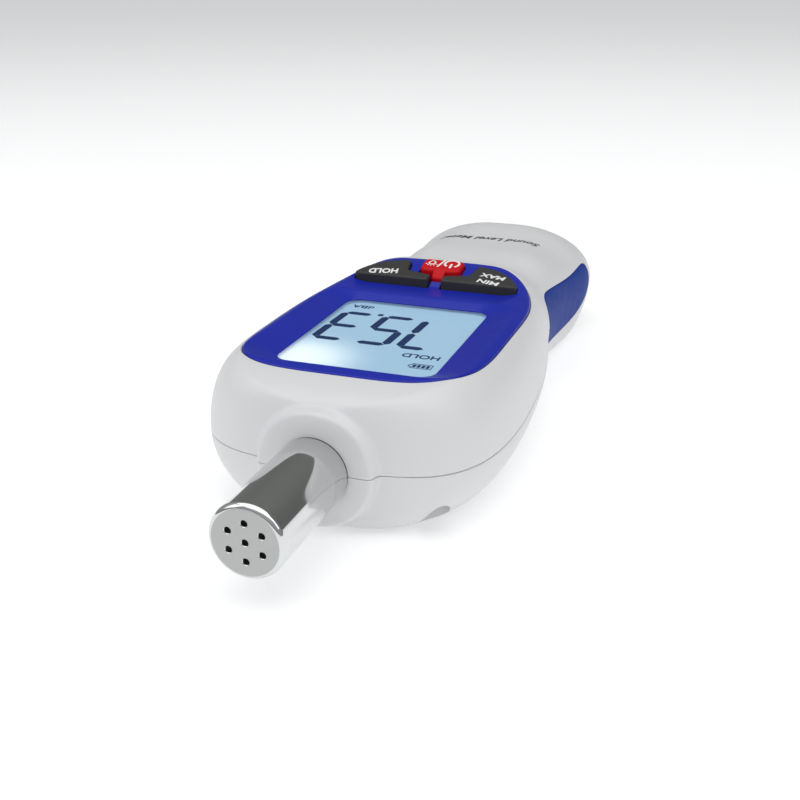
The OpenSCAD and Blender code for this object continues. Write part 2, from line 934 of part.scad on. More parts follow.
module battery_wires() {
    color("red")
    for (s = [-1, 1])
        wire(spline([
            [9 * s, 25.3, 12.4], [9 * s, 25.3, 12.4], [9 * s, 25.3, 12.4], [9 * s, 24, 12.4],
            [8.6 * s, 21.5, 11.6], [7.6 * s, 18.5, 12.6], [7 * s, 16.5, 14.8], [7 * s, 16.3, 16.4],
            [7 * s, 16.3, 16.4], [7 * s, 16.3, 16.4]
        ], 2), 0.5);
}

front_shell();
rear_shell();
bezel();
lcd_window();
lcd_glass();
backlight_diffuser();
backlight_leds();
lcd_frame();
zebra_strip();
main_pcb();
pcb_screws();
mcu_chip();
amplifier_chips();
capacitors();
crystal();
resistors();
switch_bodies();
key_power();
key_hold();
key_min_max();
plunger_power();
plunger_hold();
plunger_min_max();
mic_tube();
dust_screen();
mic_capsule();
capsule_sleeve();
mic_holder();
mic_wires();
grip_left();
grip_right();
battery_door();
battery_holder();
batteries();
battery_springs();
battery_contacts();
battery_wires();
case_screws();
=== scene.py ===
"""Handheld sound level meter: its looks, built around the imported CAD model.

Sizes are in millimetres, in the model's own frame: +Y runs from the microphone to the
handle's end and +Z is up from the table. A mesh is turned into metres when it becomes a piece.
"""

import json
import math

import bmesh
import bpy
from mathutils import Matrix, Vector
from mathutils.bvhtree import BVHTree

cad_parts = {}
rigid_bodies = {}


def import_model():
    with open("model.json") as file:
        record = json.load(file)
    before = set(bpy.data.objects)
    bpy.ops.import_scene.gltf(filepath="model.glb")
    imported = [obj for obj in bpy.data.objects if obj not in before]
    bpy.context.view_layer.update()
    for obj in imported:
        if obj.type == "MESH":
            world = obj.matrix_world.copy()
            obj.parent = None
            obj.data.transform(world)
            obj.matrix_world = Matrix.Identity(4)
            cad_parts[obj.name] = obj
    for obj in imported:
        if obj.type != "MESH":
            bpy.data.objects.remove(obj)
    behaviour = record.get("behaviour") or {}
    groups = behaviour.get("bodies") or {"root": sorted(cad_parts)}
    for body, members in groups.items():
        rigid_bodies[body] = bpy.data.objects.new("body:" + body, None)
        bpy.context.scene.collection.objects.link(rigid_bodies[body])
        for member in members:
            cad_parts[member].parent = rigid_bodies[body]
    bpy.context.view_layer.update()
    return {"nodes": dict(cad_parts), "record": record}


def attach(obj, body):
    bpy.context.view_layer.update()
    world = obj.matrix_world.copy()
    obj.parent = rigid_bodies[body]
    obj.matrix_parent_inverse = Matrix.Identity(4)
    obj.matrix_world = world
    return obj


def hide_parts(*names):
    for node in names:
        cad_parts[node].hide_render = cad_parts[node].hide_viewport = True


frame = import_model()

METRES = 0.001

# Case, one row per station: y, half width, flat half width of the front,
# rise above the parting line, drop below it, flat half width of the back
STATIONS = [
    (-57.8, 5, 0.2, 5, 5, 0.2),
    (-57.8, 9.3, 0.2, 9.3, 9.3, 0.2),
    (-57.7, 10.1, 0.2, 10.1, 10.1, 0.2),
    (-57.3, 10.5, 0.2, 10.5, 10.5, 0.2),
    (-56.4, 10.7, 0.3, 10.7, 10.7, 0.3),
    (-55.6, 10.9, 0.8, 10.8, 10.7, 0.8),
    (-55.3, 12.2, 2.5, 11, 10.6, 2.5),
    (-54.6, 16, 7, 11.8, 11.2, 5),
    (-52, 22, 13.5, 13, 12.5, 7),
    (-44, 27, 19.3, 14.5, 12.5, 16),
    (-29, 28.64, 20.5, 13.6, 12.48, 17.5),
    (-9, 27.8, 20.5, 13.8, 12.48, 16.5),
    (9, 25.4, 18.5, 13.7, 11.6, 15.4),
    (19, 22.6, 8, 18.1, 11.05, 14.7),
    (29.5, 21.1, 6, 11, 11.1, 15.4),
    (41, 20.6, 11, 13.4, 11.5, 17),
    (55, 21.8, 6.3, 12.1, 12.57, 19),
    (69, 23.6, 2.3, 14.6, 12.57, 19),
    (79, 21, 1, 9.4, 9, 11),
    (82.7, 12, 2, 5, 5.5, 6.5),
    (82.7, 4, 1, 2, 2, 2),
    (82.7, 1, 0.3, 0.5, 0.5, 0.3),
]
FRONT_POWER = 2.1
BACK_POWER = 1.9
ROWS_PER_SPAN = 8
ARC_STEPS = 26
PARTING_Z = 12.5
PARTING_GAP = 0.06
PARTING_ROUND = 0.3
PARTING_DEPTHS = (0, 0.02, 0.06, 0.12, 0.2, 0.3)
WALL = 2.2
CAVITY_FRONT_Y = -51.5
CAVITY_BACK_Y = 80.5
CEILING_Z = 22.2
FLOOR_Z = 23.6
FAR_Z = 40

# Bezel outline: a superellipse, squarer ahead of its middle than behind it
BEZEL_MID_Y = -17.4
BEZEL_HALF_W = 22.9
BEZEL_FRONT = 30.2
BEZEL_BACK = 36
SQUARE_POWER = 4.3
SOFT_POWER = 3.5
BEZEL_POINTS = 480
BEZEL_EDGE = 0.3
SEAM = 0.12

# Display
VIEW_Y = -21.6
VIEW_HALF_W = 15
VIEW_HALF_L = 19.2
VIEW_CORNER = 3
LIP_Z = 24.8
WINDOW_TOP_Z = 24.62
WINDOW_BOTTOM_Z = 24.12
GLASS_TOP_Z = 24.05
INK_T = 0.04

# Dish round the window: the outline of its crease, and how far it rises from the window's lip
DISH_HALF_W = 25
DISH_HALF_L = 24.3
DISH_CORNER = 10.2
DISH_MID_Y = VIEW_Y - 0.4
DISH_RISE = 2.25
CREASE_SOFT = 0.12

# Keys
KEY_FRONT_Y = 7.1
KEY_HALF_W = 20.7
KEY_REACH = 33
KEY_TOP_Z = 27.7
KEY_SLOPE = 0.185
POWER_HALF_W = 4.5
POWER_FRONT_Y = 11
POWER_BACK_Y = 15.9
POWER_TOP_Z = 29.76
ARM_X = 1.5
ARM_BACK_Y = 9.3
NOTCH = (6.9, 10.6)
KEY_CORNER_X = 7.7
TONGUE_HALF_W = 1.3
FLANGE_TOP_Z = 21.9
FLANGE_BOTTOM_Z = 20.9
KEY_GAP = 0.25
CAP_FLANGE = 0.45

# Level ground ahead of the keys: it bends up past SHELF_HALF_W, and at the keys and the display's end
SHELF_Z = 26
SHELF_SLOPE = 0.04
SHELF_HALF_W = 14
SHELF_FRONT_Y = -6
SHELF_BACK_Y = KEY_FRONT_Y + 0.2
SHELF_NECK_HALF_W = 1.6

# Microphone
TUBE_FACE_Y = -82.7
TUBE_R = 6.35
TUBE_SEAT_R = 6.1
TUBE_BORE_R = 5.6
TUBE_SHOULDER_Y = -58.1
TUBE_BACK_Y = -46.5
TUBE_FACE_T = 1
TUBE_EDGE = 1
HOLE_R = 0.55
HOLE_RING_R = 3.2
HOLDER_BORE_R = 8.45
SADDLE_FRONT_Y = -51.4
SADDLE_BACK_Y = -49.4
SADDLE_HALF_W = 11

# Side grips, as [y, z]
GRIP_OUTLINE = [
    (27, 19), (33, 19.5), (44, 18.3), (55, 17.4), (64, 18.3), (68.5, 17.5), (68.5, 11),
    (64, 8), (56, 6.2), (45, 6), (35, 6.6), (27.2, 8), (27.2, 8), (27.2, 8), (26.7, 14),
]
GRIP_MIDDLE = (47.5, 12.8)
GRIP_T = 1.15
GRIP_PROUD = 0.06
GRIP_FLOOR_SHARES = (0.03, 0.3, 0.6, 0.85, 1)
GRIP_TOP_SHARES = (1, 0.95, 0.88, 0.8, 0.7, 0.55, 0.4, 0.2, 0.03)

# Battery bay
DOOR_HALF_W = 17
DOOR_FRONT_Y = 27
DOOR_STEPS = ((27, 3.2), (75.3, 5), (77, 8))
DOOR_SEAM = 0.15
CATCH_X = (-5.35, 5.35)
CATCH_HALF_W = 1.3
GROOVES = 5
GROOVE_APART = 1.8
CELL_X = (-10.7, 0, 10.7)
CELL_WAYS = (1, -1, 1)
CELL_Z = 8.75
CELL_R = 5.25
CELL_L = 44.5
BAY_FRONT_Y = 26.6
BAY_BACK_Y = 75.4
CONTACT_T = 0.4

# Screws, with the radii and heights of their holes and of the posts round them
CASE_SCREWS = ((18.4, -48.5), (-18.4, -48.5), (13, 21.6), (-13, 21.6))
CASE_SCREW_R = 1.25
CASE_SCREW_TOP_Z = 20.5
CASE_SCREW_CLEAR_R = 1.35
CASE_POST_R = 2.9
HEAD_R = 2.6
HEAD_TOP_Z = 8.2
HEAD_POST_R = 3.6
BOARD_SCREWS = ((20.4, -34), (-20.4, -34), (20.4, -6), (-20.4, -6))
BOARD_SCREW_R = 0.85
BOARD_SCREW_TOP_Z = 21.8
BOARD_POST_R = 1.7
BOARD_BOTTOM_Z = 16.5
BOARD_TOP_Z = 18.1

# Capacitors under the board, as (x, y, height)
CAPACITORS = ((13, -32, 5.5), (-14, -20, 5.5), (13, 4, 7), (-13, 4, 7))


# ---- curves ----


def spline_weights(s):
    return (
        (1 - s) ** 3 / 6,
        (3 * s ** 3 - 6 * s * s + 4) / 6,
        (1 + 3 * s + 3 * s * s - 3 * s ** 3) / 6,
        s ** 3 / 6,
    )


def spline(rows, per_span):
    """Points of a uniform cubic B-spline through the control rows."""
    points = []
    for k in range((len(rows) - 3) * per_span + 1):
        span = min(k // per_span, len(rows) - 4)
        weights = spline_weights(k / per_span - span)
        near = rows[span : span + 4]
        points.append(tuple(sum(w * row[i] for w, row in zip(weights, near)) for i in range(len(rows[0]))))
    return points


def closed_spline(rows, per_span, apart):
    """The same for a closed outline, leaving out points that lie closer together than apart."""
    points = spline(list(rows) + list(rows[:3]), per_span)[:-1]
    kept = [points[0]]
    for p in points[1:]:
        if math.dist(p, kept[-1]) > apart:
            kept.append(p)
    return kept


def offset(outline, distance):
    """A closed outline with every point moved out along its normal."""
    area = sum(a[0] * b[1] - b[0] * a[1] for a, b in zip(outline, outline[1:] + outline[:1]))
    way = 1 if area > 0 else -1
    moved = []
    count = len(outline)
    for k in range(count):
        before = Vector(outline[k]) - Vector(outline[k - 1])
        after = Vector(outline[(k + 1) % count]) - Vector(outline[k])
        normal = (before.normalized() + after.normalized()).normalized()
        across = Vector((normal.y, -normal.x)) * way
        mitre = max(0.5, across.dot(Vector((after.y, -after.x)).normalized() * way))
        moved.append(tuple(Vector(outline[k]) + across * distance / mitre))
    return moved


def rounded(corners, steps=8):
    """Closed outline of corners (x, y, radius); a corner with no radius stays as a point."""
    points = []
    count = len(corners)
    for k, (x, y, radius) in enumerate(corners):
        corner = Vector((x, y))
        if radius == 0:
            points.append((x, y))
            continue
        back = (Vector(corners[k - 1][:2]) - corner).normalized()
        ahead = (Vector(corners[(k + 1) % count][:2]) - corner).normalized()
        half = back.angle(ahead) / 2
        centre = corner + (back + ahead).normalized() * (radius / math.sin(half))
        start = corner + back * (radius / math.tan(half)) - centre
        turn = (math.pi - 2 * half) * (1 if back.cross(ahead) < 0 else -1)
        for step in range(steps + 1):
            angle = turn * step / steps
            c = math.cos(angle)
            s = math.sin(angle)
            points.append((centre.x + c * start.x - s * start.y, centre.y + s * start.x + c * start.y))
    return points


def field_point(half_w, front, back, angle):
    """Point of the bezel's superellipse."""
    c = math.cos(angle)
    s = math.sin(angle)
    power = SQUARE_POWER if s < 0 else SOFT_POWER
    reach = front if s < 0 else back
    return (
        math.copysign(half_w * abs(c) ** (2 / power), c),
        BEZEL_MID_Y + math.copysign(reach * abs(s) ** (2 / power), s),
    )


def bezel_outline(grow, count=BEZEL_POINTS):
    return [
        field_point(BEZEL_HALF_W + grow, BEZEL_FRONT + grow, BEZEL_BACK + grow, 2 * math.pi * k / count)
        for k in range(count)
    ]


def dark_key_outline():
    """Outline of the key at +X, anticlockwise from its inner front corner."""
    start = math.asin(((KEY_FRONT_Y - BEZEL_MID_Y) / KEY_REACH) ** (SOFT_POWER / 2))
    end = math.acos((KEY_CORNER_X / KEY_HALF_W) ** (SOFT_POWER / 2))
    steps = 22
    outer = [
        field_point(KEY_HALF_W, KEY_REACH, KEY_REACH, start + (end - start) * k / steps)
        for k in range(steps + 1)
    ]
    corners = [(ARM_X, KEY_FRONT_Y, 0.5), (*outer[0], 0.6)]
    corners += [(*point, 0) for point in outer[3:-2]]
    corners += [(*outer[-1], 0.8), (*NOTCH, 0.8), (ARM_X, ARM_BACK_Y, 0.6)]
    return rounded(corners)


def power_outline():
    return rounded([
        (-POWER_HALF_W, POWER_FRONT_Y, 1.3), (POWER_HALF_W, POWER_FRONT_Y, 1.3),
        (POWER_HALF_W, POWER_BACK_Y, 1), (-POWER_HALF_W, POWER_BACK_Y, 1),
    ])


def mirrored(outline):
    return [(-x, y) for x, y in reversed(outline)]


# ---- solids ----


def solid(points, faces):
    """Closed mesh with its faces turned outwards."""
    mesh = bpy.data.meshes.new("solid")
    mesh.from_pydata(points, [], faces)
    shape = bmesh.new()
    shape.from_mesh(mesh)
    bmesh.ops.recalc_face_normals(shape, faces=shape.faces)
    shape.to_mesh(mesh)
    shape.free()
    return mesh


def ring_faces(rings, count):
    return [
        (i * count + j, i * count + (j + 1) % count, (i + 1) * count + (j + 1) % count, (i + 1) * count + j)
        for i in range(rings - 1)
        for j in range(count)
    ]


def loft(rings):
    """Solid skinned over rings with the same number of points, capped at both ends."""
    count = len(rings[0])
    last = (len(rings) - 1) * count
    faces = ring_faces(len(rings), count)
    faces.append(tuple(range(count)))
    faces.append(tuple(last + j for j in range(count)))
    return solid([p for ring in rings for p in ring], faces)


def band(rings):
    """Ring-shaped solid: the last ring joins the first."""
    count = len(rings[0])
    last = (len(rings) - 1) * count
    faces = ring_faces(len(rings), count)
    faces += [(last + j, last + (j + 1) % count, (j + 1) % count, j) for j in range(count)]
    return solid([p for ring in rings for p in ring], faces)


def prism(outline, low, high):
    return loft([[(x, y, low) for x, y in outline], [(x, y, high) for x, y in outline]])


def rectangle(low, high):
    return [(low[0], low[1]), (high[0], low[1]), (high[0], high[1]), (low[0], high[1])]


def block(low, high):
    return prism(rectangle(low, high), low[2], high[2])


def circle(radius, count):
    turn = 2 * math.pi
    return [
        (radius * math.cos(turn * k / count), radius * math.sin(turn * k / count))
        for k in range(count)
    ]


def post(x, y, radius, low, high):
    return prism([(x + a, y + b) for a, b in circle(radius, 48)], low, high)


def turned(x, z, profile, count=128):
    """Solid turned about a line along Y; the profile is (radius, y), and its ends are capped."""
    return loft([[(x + a, y, z + b) for a, b in circle(radius, count)] for radius, y in profile])


def combine(first, second, operation):
    """First mesh joined with the second, cut by it, or kept only where they meet."""
    scene = bpy.context.scene.collection.objects
    body = bpy.data.objects.new("body", first)
    tool = bpy.data.objects.new("tool", second)
    scene.link(body)
    scene.link(tool)
    modifier = body.modifiers.new("combine", "BOOLEAN")
    modifier.operation = operation
    modifier.solver = "MANIFOLD"
    modifier.object = tool
    result = bpy.data.meshes.new_from_object(body.evaluated_get(bpy.context.evaluated_depsgraph_get()))
    bpy.data.objects.remove(body)
    bpy.data.objects.remove(tool)
    return result


def cut(first, *others):
    for other in others:
        first = combine(first, other, "DIFFERENCE")
    return first


def join(first, *others):
    for other in others:
        first = combine(first, other, "UNION")
    return first


def tube_along(path, radius, sides=12):
    """Round wire along a list of points."""
    rings = []
    side = Vector((0, 0, 1))
    for k, point in enumerate(path):
        ahead = Vector(path[min(k + 1, len(path) - 1)]) - Vector(path[max(k - 1, 0)])
        ahead.normalize()
        side = side - ahead * side.dot(ahead)
        if side.length < 0.1:
            side = Vector((1, 0, 0)) - ahead * ahead.x
        side.normalize()
        other = ahead.cross(side)
        rings.append([tuple(Vector(point) + side * a + other * b) for a, b in circle(radius, sides)])
    return loft(rings)


# ---- pieces ----


def as_piece(name, mesh, body, material, nodes=(), crease=32):
    """Shows a mesh as a piece of the object that moves with a CAD body."""
    mesh.transform(Matrix.Scale(METRES, 4))
    mesh.materials.clear()
    mesh.materials.append(material)
    for face in mesh.polygons:
        face.use_smooth = True
        face.material_index = 0
    mesh.set_sharp_from_angle(angle=math.radians(crease))
    obj = bpy.data.objects.new(name, mesh)
    bpy.context.scene.collection.objects.link(obj)
    weights = obj.modifiers.new("normals", "WEIGHTED_NORMAL")
    weights.keep_sharp = True
    shaded = bpy.data.meshes.new_from_object(obj.evaluated_get(bpy.context.evaluated_depsgraph_get()))
    obj.modifiers.clear()
    obj.data = shaded
    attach(obj, body)
    if nodes:
        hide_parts(*nodes)
    return obj


# ---- case ----


def quarter(half_w, flat, rise, power, eased):
    """Quarter of the case's section as (out, up), from the parting line to the crown."""
    points = []
    start = 0
    if eased:
        for depth in PARTING_DEPTHS:
            up = PARTING_GAP + depth
            start = math.asin(min(1, up / rise) ** (power / 2))
            pull = PARTING_ROUND - math.sqrt(PARTING_ROUND ** 2 - (PARTING_ROUND - depth) ** 2)
            points.append((flat + (half_w - flat) * math.cos(start) ** (2 / power) - pull, up))
    for k in range(1 if eased else 0, ARC_STEPS + 1):
        t = start + (math.pi / 2 - start) * k / ARC_STEPS
        out = flat + (half_w - flat) * max(0, math.cos(t)) ** (2 / power)
        points.append((out, rise * math.sin(t) ** (2 / power)))
    return points


def half_ring(row, side, eased=False, skirt=0):
    y, half_w, flat_front, rise, drop, flat_back = row
    if side > 0:
        curve = quarter(half_w, flat_front, rise, FRONT_POWER, eased)
    else:
        curve = quarter(half_w, flat_back, drop, BACK_POWER, eased)
    if skirt:
        curve = [(half_w, -skirt)] + curve
    near = [(x, y, PARTING_Z + side * up) for x, up in curve]
    return near + [(-x, y, z) for x, y, z in reversed(near)]


def full_ring(row):
    return half_ring(row, 1) + [(-x, y, z) for x, y, z in half_ring(row, -1)[1:-1]]


def inset(row, distance, limit):
    y, half_w, flat_front, rise, drop, flat_back = row
    narrow = half_w - distance - 1
    return (
        y, half_w - distance, min(flat_front, narrow), min(rise - distance, limit),
        drop - distance, min(flat_back, narrow),
    )


SKIN_ROWS = spline([STATIONS[0]] + STATIONS + [STATIONS[-1]], ROWS_PER_SPAN)


def tree_of(mesh):
    points = [v.co.copy() for v in mesh.vertices]
    return BVHTree.FromPolygons(points, [tuple(f.vertices) for f in mesh.polygons])


SKIN = tree_of(loft([full_ring(row) for row in SKIN_ROWS]))


def height(tree, x, y):
    """Top of a surface over a point."""
    return tree.ray_cast(Vector((x, y, FAR_Z)), Vector((0, 0, -1)))[0].z


def reach(tree, y, z):
    """How far out the surface lies on the +X side, at that height."""
    return tree.ray_cast(Vector((FAR_Z, y, z)), Vector((-1, 0, 0)))[0].x


def fillet_steps(radius):
    """(depth below the edge, how far the rounding has pulled the wall) from the wall to the top."""
    return [
        (radius * k, radius - math.sqrt(radius ** 2 - (radius - radius * k) ** 2))
        for k in (1, 0.7, 0.45, 0.27, 0.14, 0.06, 0.02)
    ]


def rounded_cutter(outline, tree, floor, radius):
    """Cutter for an opening in a surface, whose rim is rounded over."""
    rings = [[(x, y, floor) for x, y in outline]]
    grown = outline
    for depth, pull in fillet_steps(radius):
        grown = offset(outline, pull)
        rings.append([(x, y, height(tree, x, y) - depth) for x, y in grown])
    rings.append([(x, y, FAR_Z) for x, y in grown])
    return loft(rings)


def cavity(side):
    rows = [row for row in SKIN_ROWS[::2] if CAVITY_FRONT_Y < row[0] < CAVITY_BACK_Y]
    return loft([half_ring(inset(row, WALL, CEILING_Z - PARTING_Z), side, skirt=1) for row in rows])


def saddle(side):
    """Wall across the case that carries the microphone's rubber holder."""
    far_z = PARTING_Z * (1 + side)
    wall = block(
        (-SADDLE_HALF_W, SADDLE_FRONT_Y, min(PARTING_Z, far_z)),
        (SADDLE_HALF_W, SADDLE_BACK_Y, max(PARTING_Z, far_z)),
    )
    ends = (SADDLE_FRONT_Y - 1.6, SADDLE_BACK_Y + 1.4)
    return cut(wall, turned(0, PARTING_Z, [(HOLDER_BORE_R, y) for y in ends], 64))


def mic_bores():
    """Bore round the tube's narrow end, and the wider one for the rubber holder."""
    return [
        turned(0, PARTING_Z, [(TUBE_SEAT_R + 0.15, y) for y in (-60, -46)]),
        turned(0, PARTING_Z, [(HOLDER_BORE_R, y) for y in (-52.75, -50.4)], 64),
    ]


def scaled(outline, share):
    cy, cz = GRIP_MIDDLE
    return [(cy + (y - cy) * share, cz + (z - cz) * share) for y, z in outline]


def on_side(outline, side, depth):
    """An outline in side view laid on the case's side, that far under its surface."""
    return [(side * (reach(SKIN, y, z) - depth), y, z) for y, z in outline]


def grip_outline():
    return closed_spline(GRIP_OUTLINE, 10, 0.08)


def grip_pocket(side):
    outline = offset(grip_outline(), 0.08)
    rings = [on_side(scaled(outline, share), side, GRIP_T + 0.15) for share in GRIP_FLOOR_SHARES]
    grown = outline
    for depth, pull in fillet_steps(0.22):
        grown = offset(outline, pull)
        rings.append(on_side(grown, side, depth))
    rings.append([(side * FAR_Z, y, z) for y, z in grown])
    return loft(rings)


def grip(side):
    outline = grip_outline()
    rings = [on_side(scaled(outline, share), side, GRIP_T) for share in GRIP_FLOOR_SHARES]
    for depth, pull in fillet_steps(0.3):
        rings.append(on_side(offset(outline, -pull), side, depth - GRIP_PROUD))
    inner = offset(outline, -0.6)
    rings += [on_side(scaled(inner, share), side, -GRIP_PROUD) for share in GRIP_TOP_SHARES]
    return loft(rings)


def posts(places, radius, low, high):
    return [post(x, y, radius, low, high) for x, y in places]


def key_outlines():
    return dark_key_outline(), mirrored(dark_key_outline()), power_opening()


def front_shell():
    space = cavity(1)
    space = cut(space, *posts(CASE_SCREWS, CASE_POST_R, PARTING_Z, FAR_Z))
    space = cut(space, *posts(BOARD_SCREWS, BOARD_POST_R, BOARD_TOP_Z, FAR_Z))
    space = cut(space, saddle(1))
    shell = loft([half_ring(row, 1, eased=True) for row in SKIN_ROWS])
    shell = cut(shell, space, *mic_bores())
    shell = cut(shell, rounded_cutter(bezel_outline(SEAM, 240), SKIN, FLOOR_Z, 0.45))
    shell = cut(shell, block((-18, -43.6, CEILING_Z - 1), (18, 0.4, FLOOR_Z + 1)))
    for outline in key_outlines():
        shell = cut(shell, prism(offset(outline, KEY_GAP + 0.1), CEILING_Z - 1, FLOOR_Z + 1))
    shell = cut(shell, grip_pocket(1), grip_pocket(-1))
    shell = cut(shell, *posts(CASE_SCREWS, CASE_SCREW_R, PARTING_Z - 1, CASE_SCREW_TOP_Z))
    return cut(shell, *posts(BOARD_SCREWS, BOARD_SCREW_R, BOARD_BOTTOM_Z, BOARD_SCREW_TOP_Z))


def door_region(grow):
    half_w = DOOR_HALF_W + grow
    return [block((-half_w, y - grow, -5), (half_w, 90, z + grow)) for y, z in DOOR_STEPS]


def rear_shell():
    space = cavity(-1)
    space = cut(space, *posts(CASE_SCREWS, HEAD_POST_R, -5, PARTING_Z))
    space = cut(space, saddle(-1))
    shell = loft([half_ring(row, -1, eased=True) for row in SKIN_ROWS])
    shell = cut(shell, space, *mic_bores())
    shell = cut(shell, block((-17.35, 25.25, 5.05), (17.35, 76.75, PARTING_Z + 2)))
    shell = cut(shell, block((-DOOR_HALF_W, DOOR_FRONT_Y - DOOR_SEAM, 3.2), (DOOR_HALF_W, BAY_BACK_Y, 5.2)))
    shell = cut(shell, *door_region(DOOR_SEAM))
    shell = cut(shell, grip_pocket(1), grip_pocket(-1))
    shell = cut(shell, *posts(CASE_SCREWS, HEAD_R, -1, HEAD_TOP_Z))
    return cut(shell, *posts(CASE_SCREWS, CASE_SCREW_CLEAR_R, HEAD_TOP_Z - 1.2, PARTING_Z + 2))


def catch(x):
    """Tongue of the door that hooks over the rear shell's edge."""
    return [
        block((x - CATCH_HALF_W, 27.2, 2.8), (x + CATCH_HALF_W, 29.2, 4.9)),
        block((x - CATCH_HALF_W, 25.2, 3.9), (x + CATCH_HALF_W, 27.4, 4.9)),
    ]


def battery_door():
    region = join(*door_region(0))
    door = combine(loft([half_ring(row, -1) for row in SKIN_ROWS]), region, "INTERSECT")
    door = cut(door, cavity(-1))
    for x in CATCH_X:
        door = join(door, *catch(x))
    for k in range(GROOVES):
        y = 31.5 + GROOVE_APART * k
        z = underside(0, y)
        half_w = 7 - 0.5 * k
        door = cut(door, tube_along([(-half_w, y, z), (half_w, y, z)], 0.45))
    return door


def underside(x, y):
    """Height of the case's underside at a point."""
    return SKIN.ray_cast(Vector((x, y, -FAR_Z)), Vector((0, 0, 1)))[0].z


# ---- bezel ----


def view_distance(x, y, half_w, half_l, corner, mid_y):
    """Distance of a point outside a rounded rectangle; less than 0 inside it."""
    across = abs(x) - half_w + corner
    along = abs(y - mid_y) - half_l + corner
    return math.hypot(max(across, 0), max(along, 0)) + min(max(across, along), 0) - corner


def dish_height(x, y):
    """Funnel from the window's lip up past the bezel's face."""
    inside = max(0, view_distance(x, y, VIEW_HALF_W, VIEW_HALF_L, VIEW_CORNER, VIEW_Y))
    outside = max(0, -view_distance(x, y, DISH_HALF_W, DISH_HALF_L, DISH_CORNER, DISH_MID_Y))
    if outside == 0:
        return FAR_Z
    return LIP_Z + DISH_RISE * inside / (inside + outside)


def shelf_height(x, y):
    """Level ground ahead of the keys, which runs out to the sides and ends under the keys."""
    side = max(0, abs(x) - SHELF_HALF_W)
    end = max(0, y - SHELF_BACK_Y)
    rise = 0.6 if abs(x) < SHELF_NECK_HALF_W else 5
    level = SHELF_Z - SHELF_SLOPE * y
    return level + 0.04 * side * side + rise * end + max(0, SHELF_FRONT_Y - y)


def bezel_height(x, y):
    """Top of the bezel: the case's own surface, or the dish where that is lower, with a soft crease."""
    face = min(height(SKIN, x, y), shelf_height(x, y))
    dish = dish_height(x, y)
    mix = max(CREASE_SOFT - abs(face - dish), 0) / CREASE_SOFT
    return min(face, dish) - mix * mix * CREASE_SOFT / 4


def ring_at(outer, grow):
    """Points at that distance outside the view opening, each on the line to a point of the outer outline."""
    ring = []
    middle = Vector((0, VIEW_Y))
    for point in outer:
        way = (Vector(point) - middle).normalized()
        low = 0
        high = 60
        for _ in range(32):
            mid = (low + high) / 2
            p = middle + way * mid
            if view_distance(p.x, p.y, VIEW_HALF_W, VIEW_HALF_L, VIEW_CORNER, VIEW_Y) > grow:
                high = mid
            else:
                low = mid
        p = middle + way * low
        ring.append((p.x, p.y))
    return ring


def at(outline, z):
    return [(x, y, z) for x, y in outline]


def under(outline, depth):
    return [(x, y, bezel_height(x, y) - depth) for x, y in outline]


def bezel_blank():
    outer = bezel_outline(0)
    rings = [at(outer, FLOOR_Z)]
    for depth, pull in fillet_steps(BEZEL_EDGE):
        rings.append(under(offset(outer, -pull), depth))
    rim = offset(outer, -BEZEL_EDGE)
    lip = ring_at(outer, 0)
    lip_top = ring_at(outer, 0.2)
    steps = 40
    for k in range(1, steps):
        share = k / steps
        rings.append(under([
            (a[0] + (b[0] - a[0]) * share, a[1] + (b[1] - a[1]) * share) for a, b in zip(rim, lip_top)
        ], 0))
    rings.append(under(lip_top, 0))
    for depth, pull in reversed(fillet_steps(0.12)):
        rings.append(under(ring_at(outer, pull), depth * 0.9))
    rings.append(at(lip, WINDOW_TOP_Z))
    rings.append(at(ring_at(outer, 1.3), WINDOW_TOP_Z))
    rings.append(at(ring_at(outer, 1.3), WINDOW_BOTTOM_Z))
    rings.append(at(ring_at(outer, 4.75), WINDOW_BOTTOM_Z))
    rings.append(at(ring_at(outer, 4.75), FLOOR_Z))
    return band(rings)


def power_opening():
    """Outline around the power key with its tongue."""
    root_half_w = TONGUE_HALF_W + 0.5
    return rounded([
        (-TONGUE_HALF_W, ARM_BACK_Y, 0.3), (TONGUE_HALF_W, ARM_BACK_Y, 0.3),
        (root_half_w, POWER_FRONT_Y, 0.4), (POWER_HALF_W, POWER_FRONT_Y, 1.1),
        (POWER_HALF_W, POWER_BACK_Y, 1), (-POWER_HALF_W, POWER_BACK_Y, 1),
        (-POWER_HALF_W, POWER_FRONT_Y, 1.1), (-root_half_w, POWER_FRONT_Y, 0.4),
    ])


def bezel():
    blank = bezel_blank()
    tree = tree_of(blank)
    for outline in key_outlines():
        blank = cut(blank, rounded_cutter(offset(outline, KEY_GAP), tree, FLOOR_Z - 1, 0.2))
    return blank


# ---- keys ----


def dark_top(y):
    """Height of the dark keys' sloping tops."""
    return KEY_TOP_Z + KEY_SLOPE * (y - KEY_FRONT_Y)


def power_top(y):
    return POWER_TOP_Z - KEY_SLOPE * (POWER_BACK_Y - y)


def key_cap(outline, top, radius):
    """Key with a rounded edge around its sloping top."""
    rings = [at(outline, FLANGE_TOP_Z)]
    for depth, pull in fillet_steps(radius):
        rings.append([(x, y, top(y) - depth) for x, y in offset(outline, -pull)])
    rings.append([(x, y, top(y)) for x, y in offset(outline, -radius)])
    return join(loft(rings), prism(offset(outline, CAP_FLANGE), FLANGE_BOTTOM_Z, FLANGE_TOP_Z + 0.01))


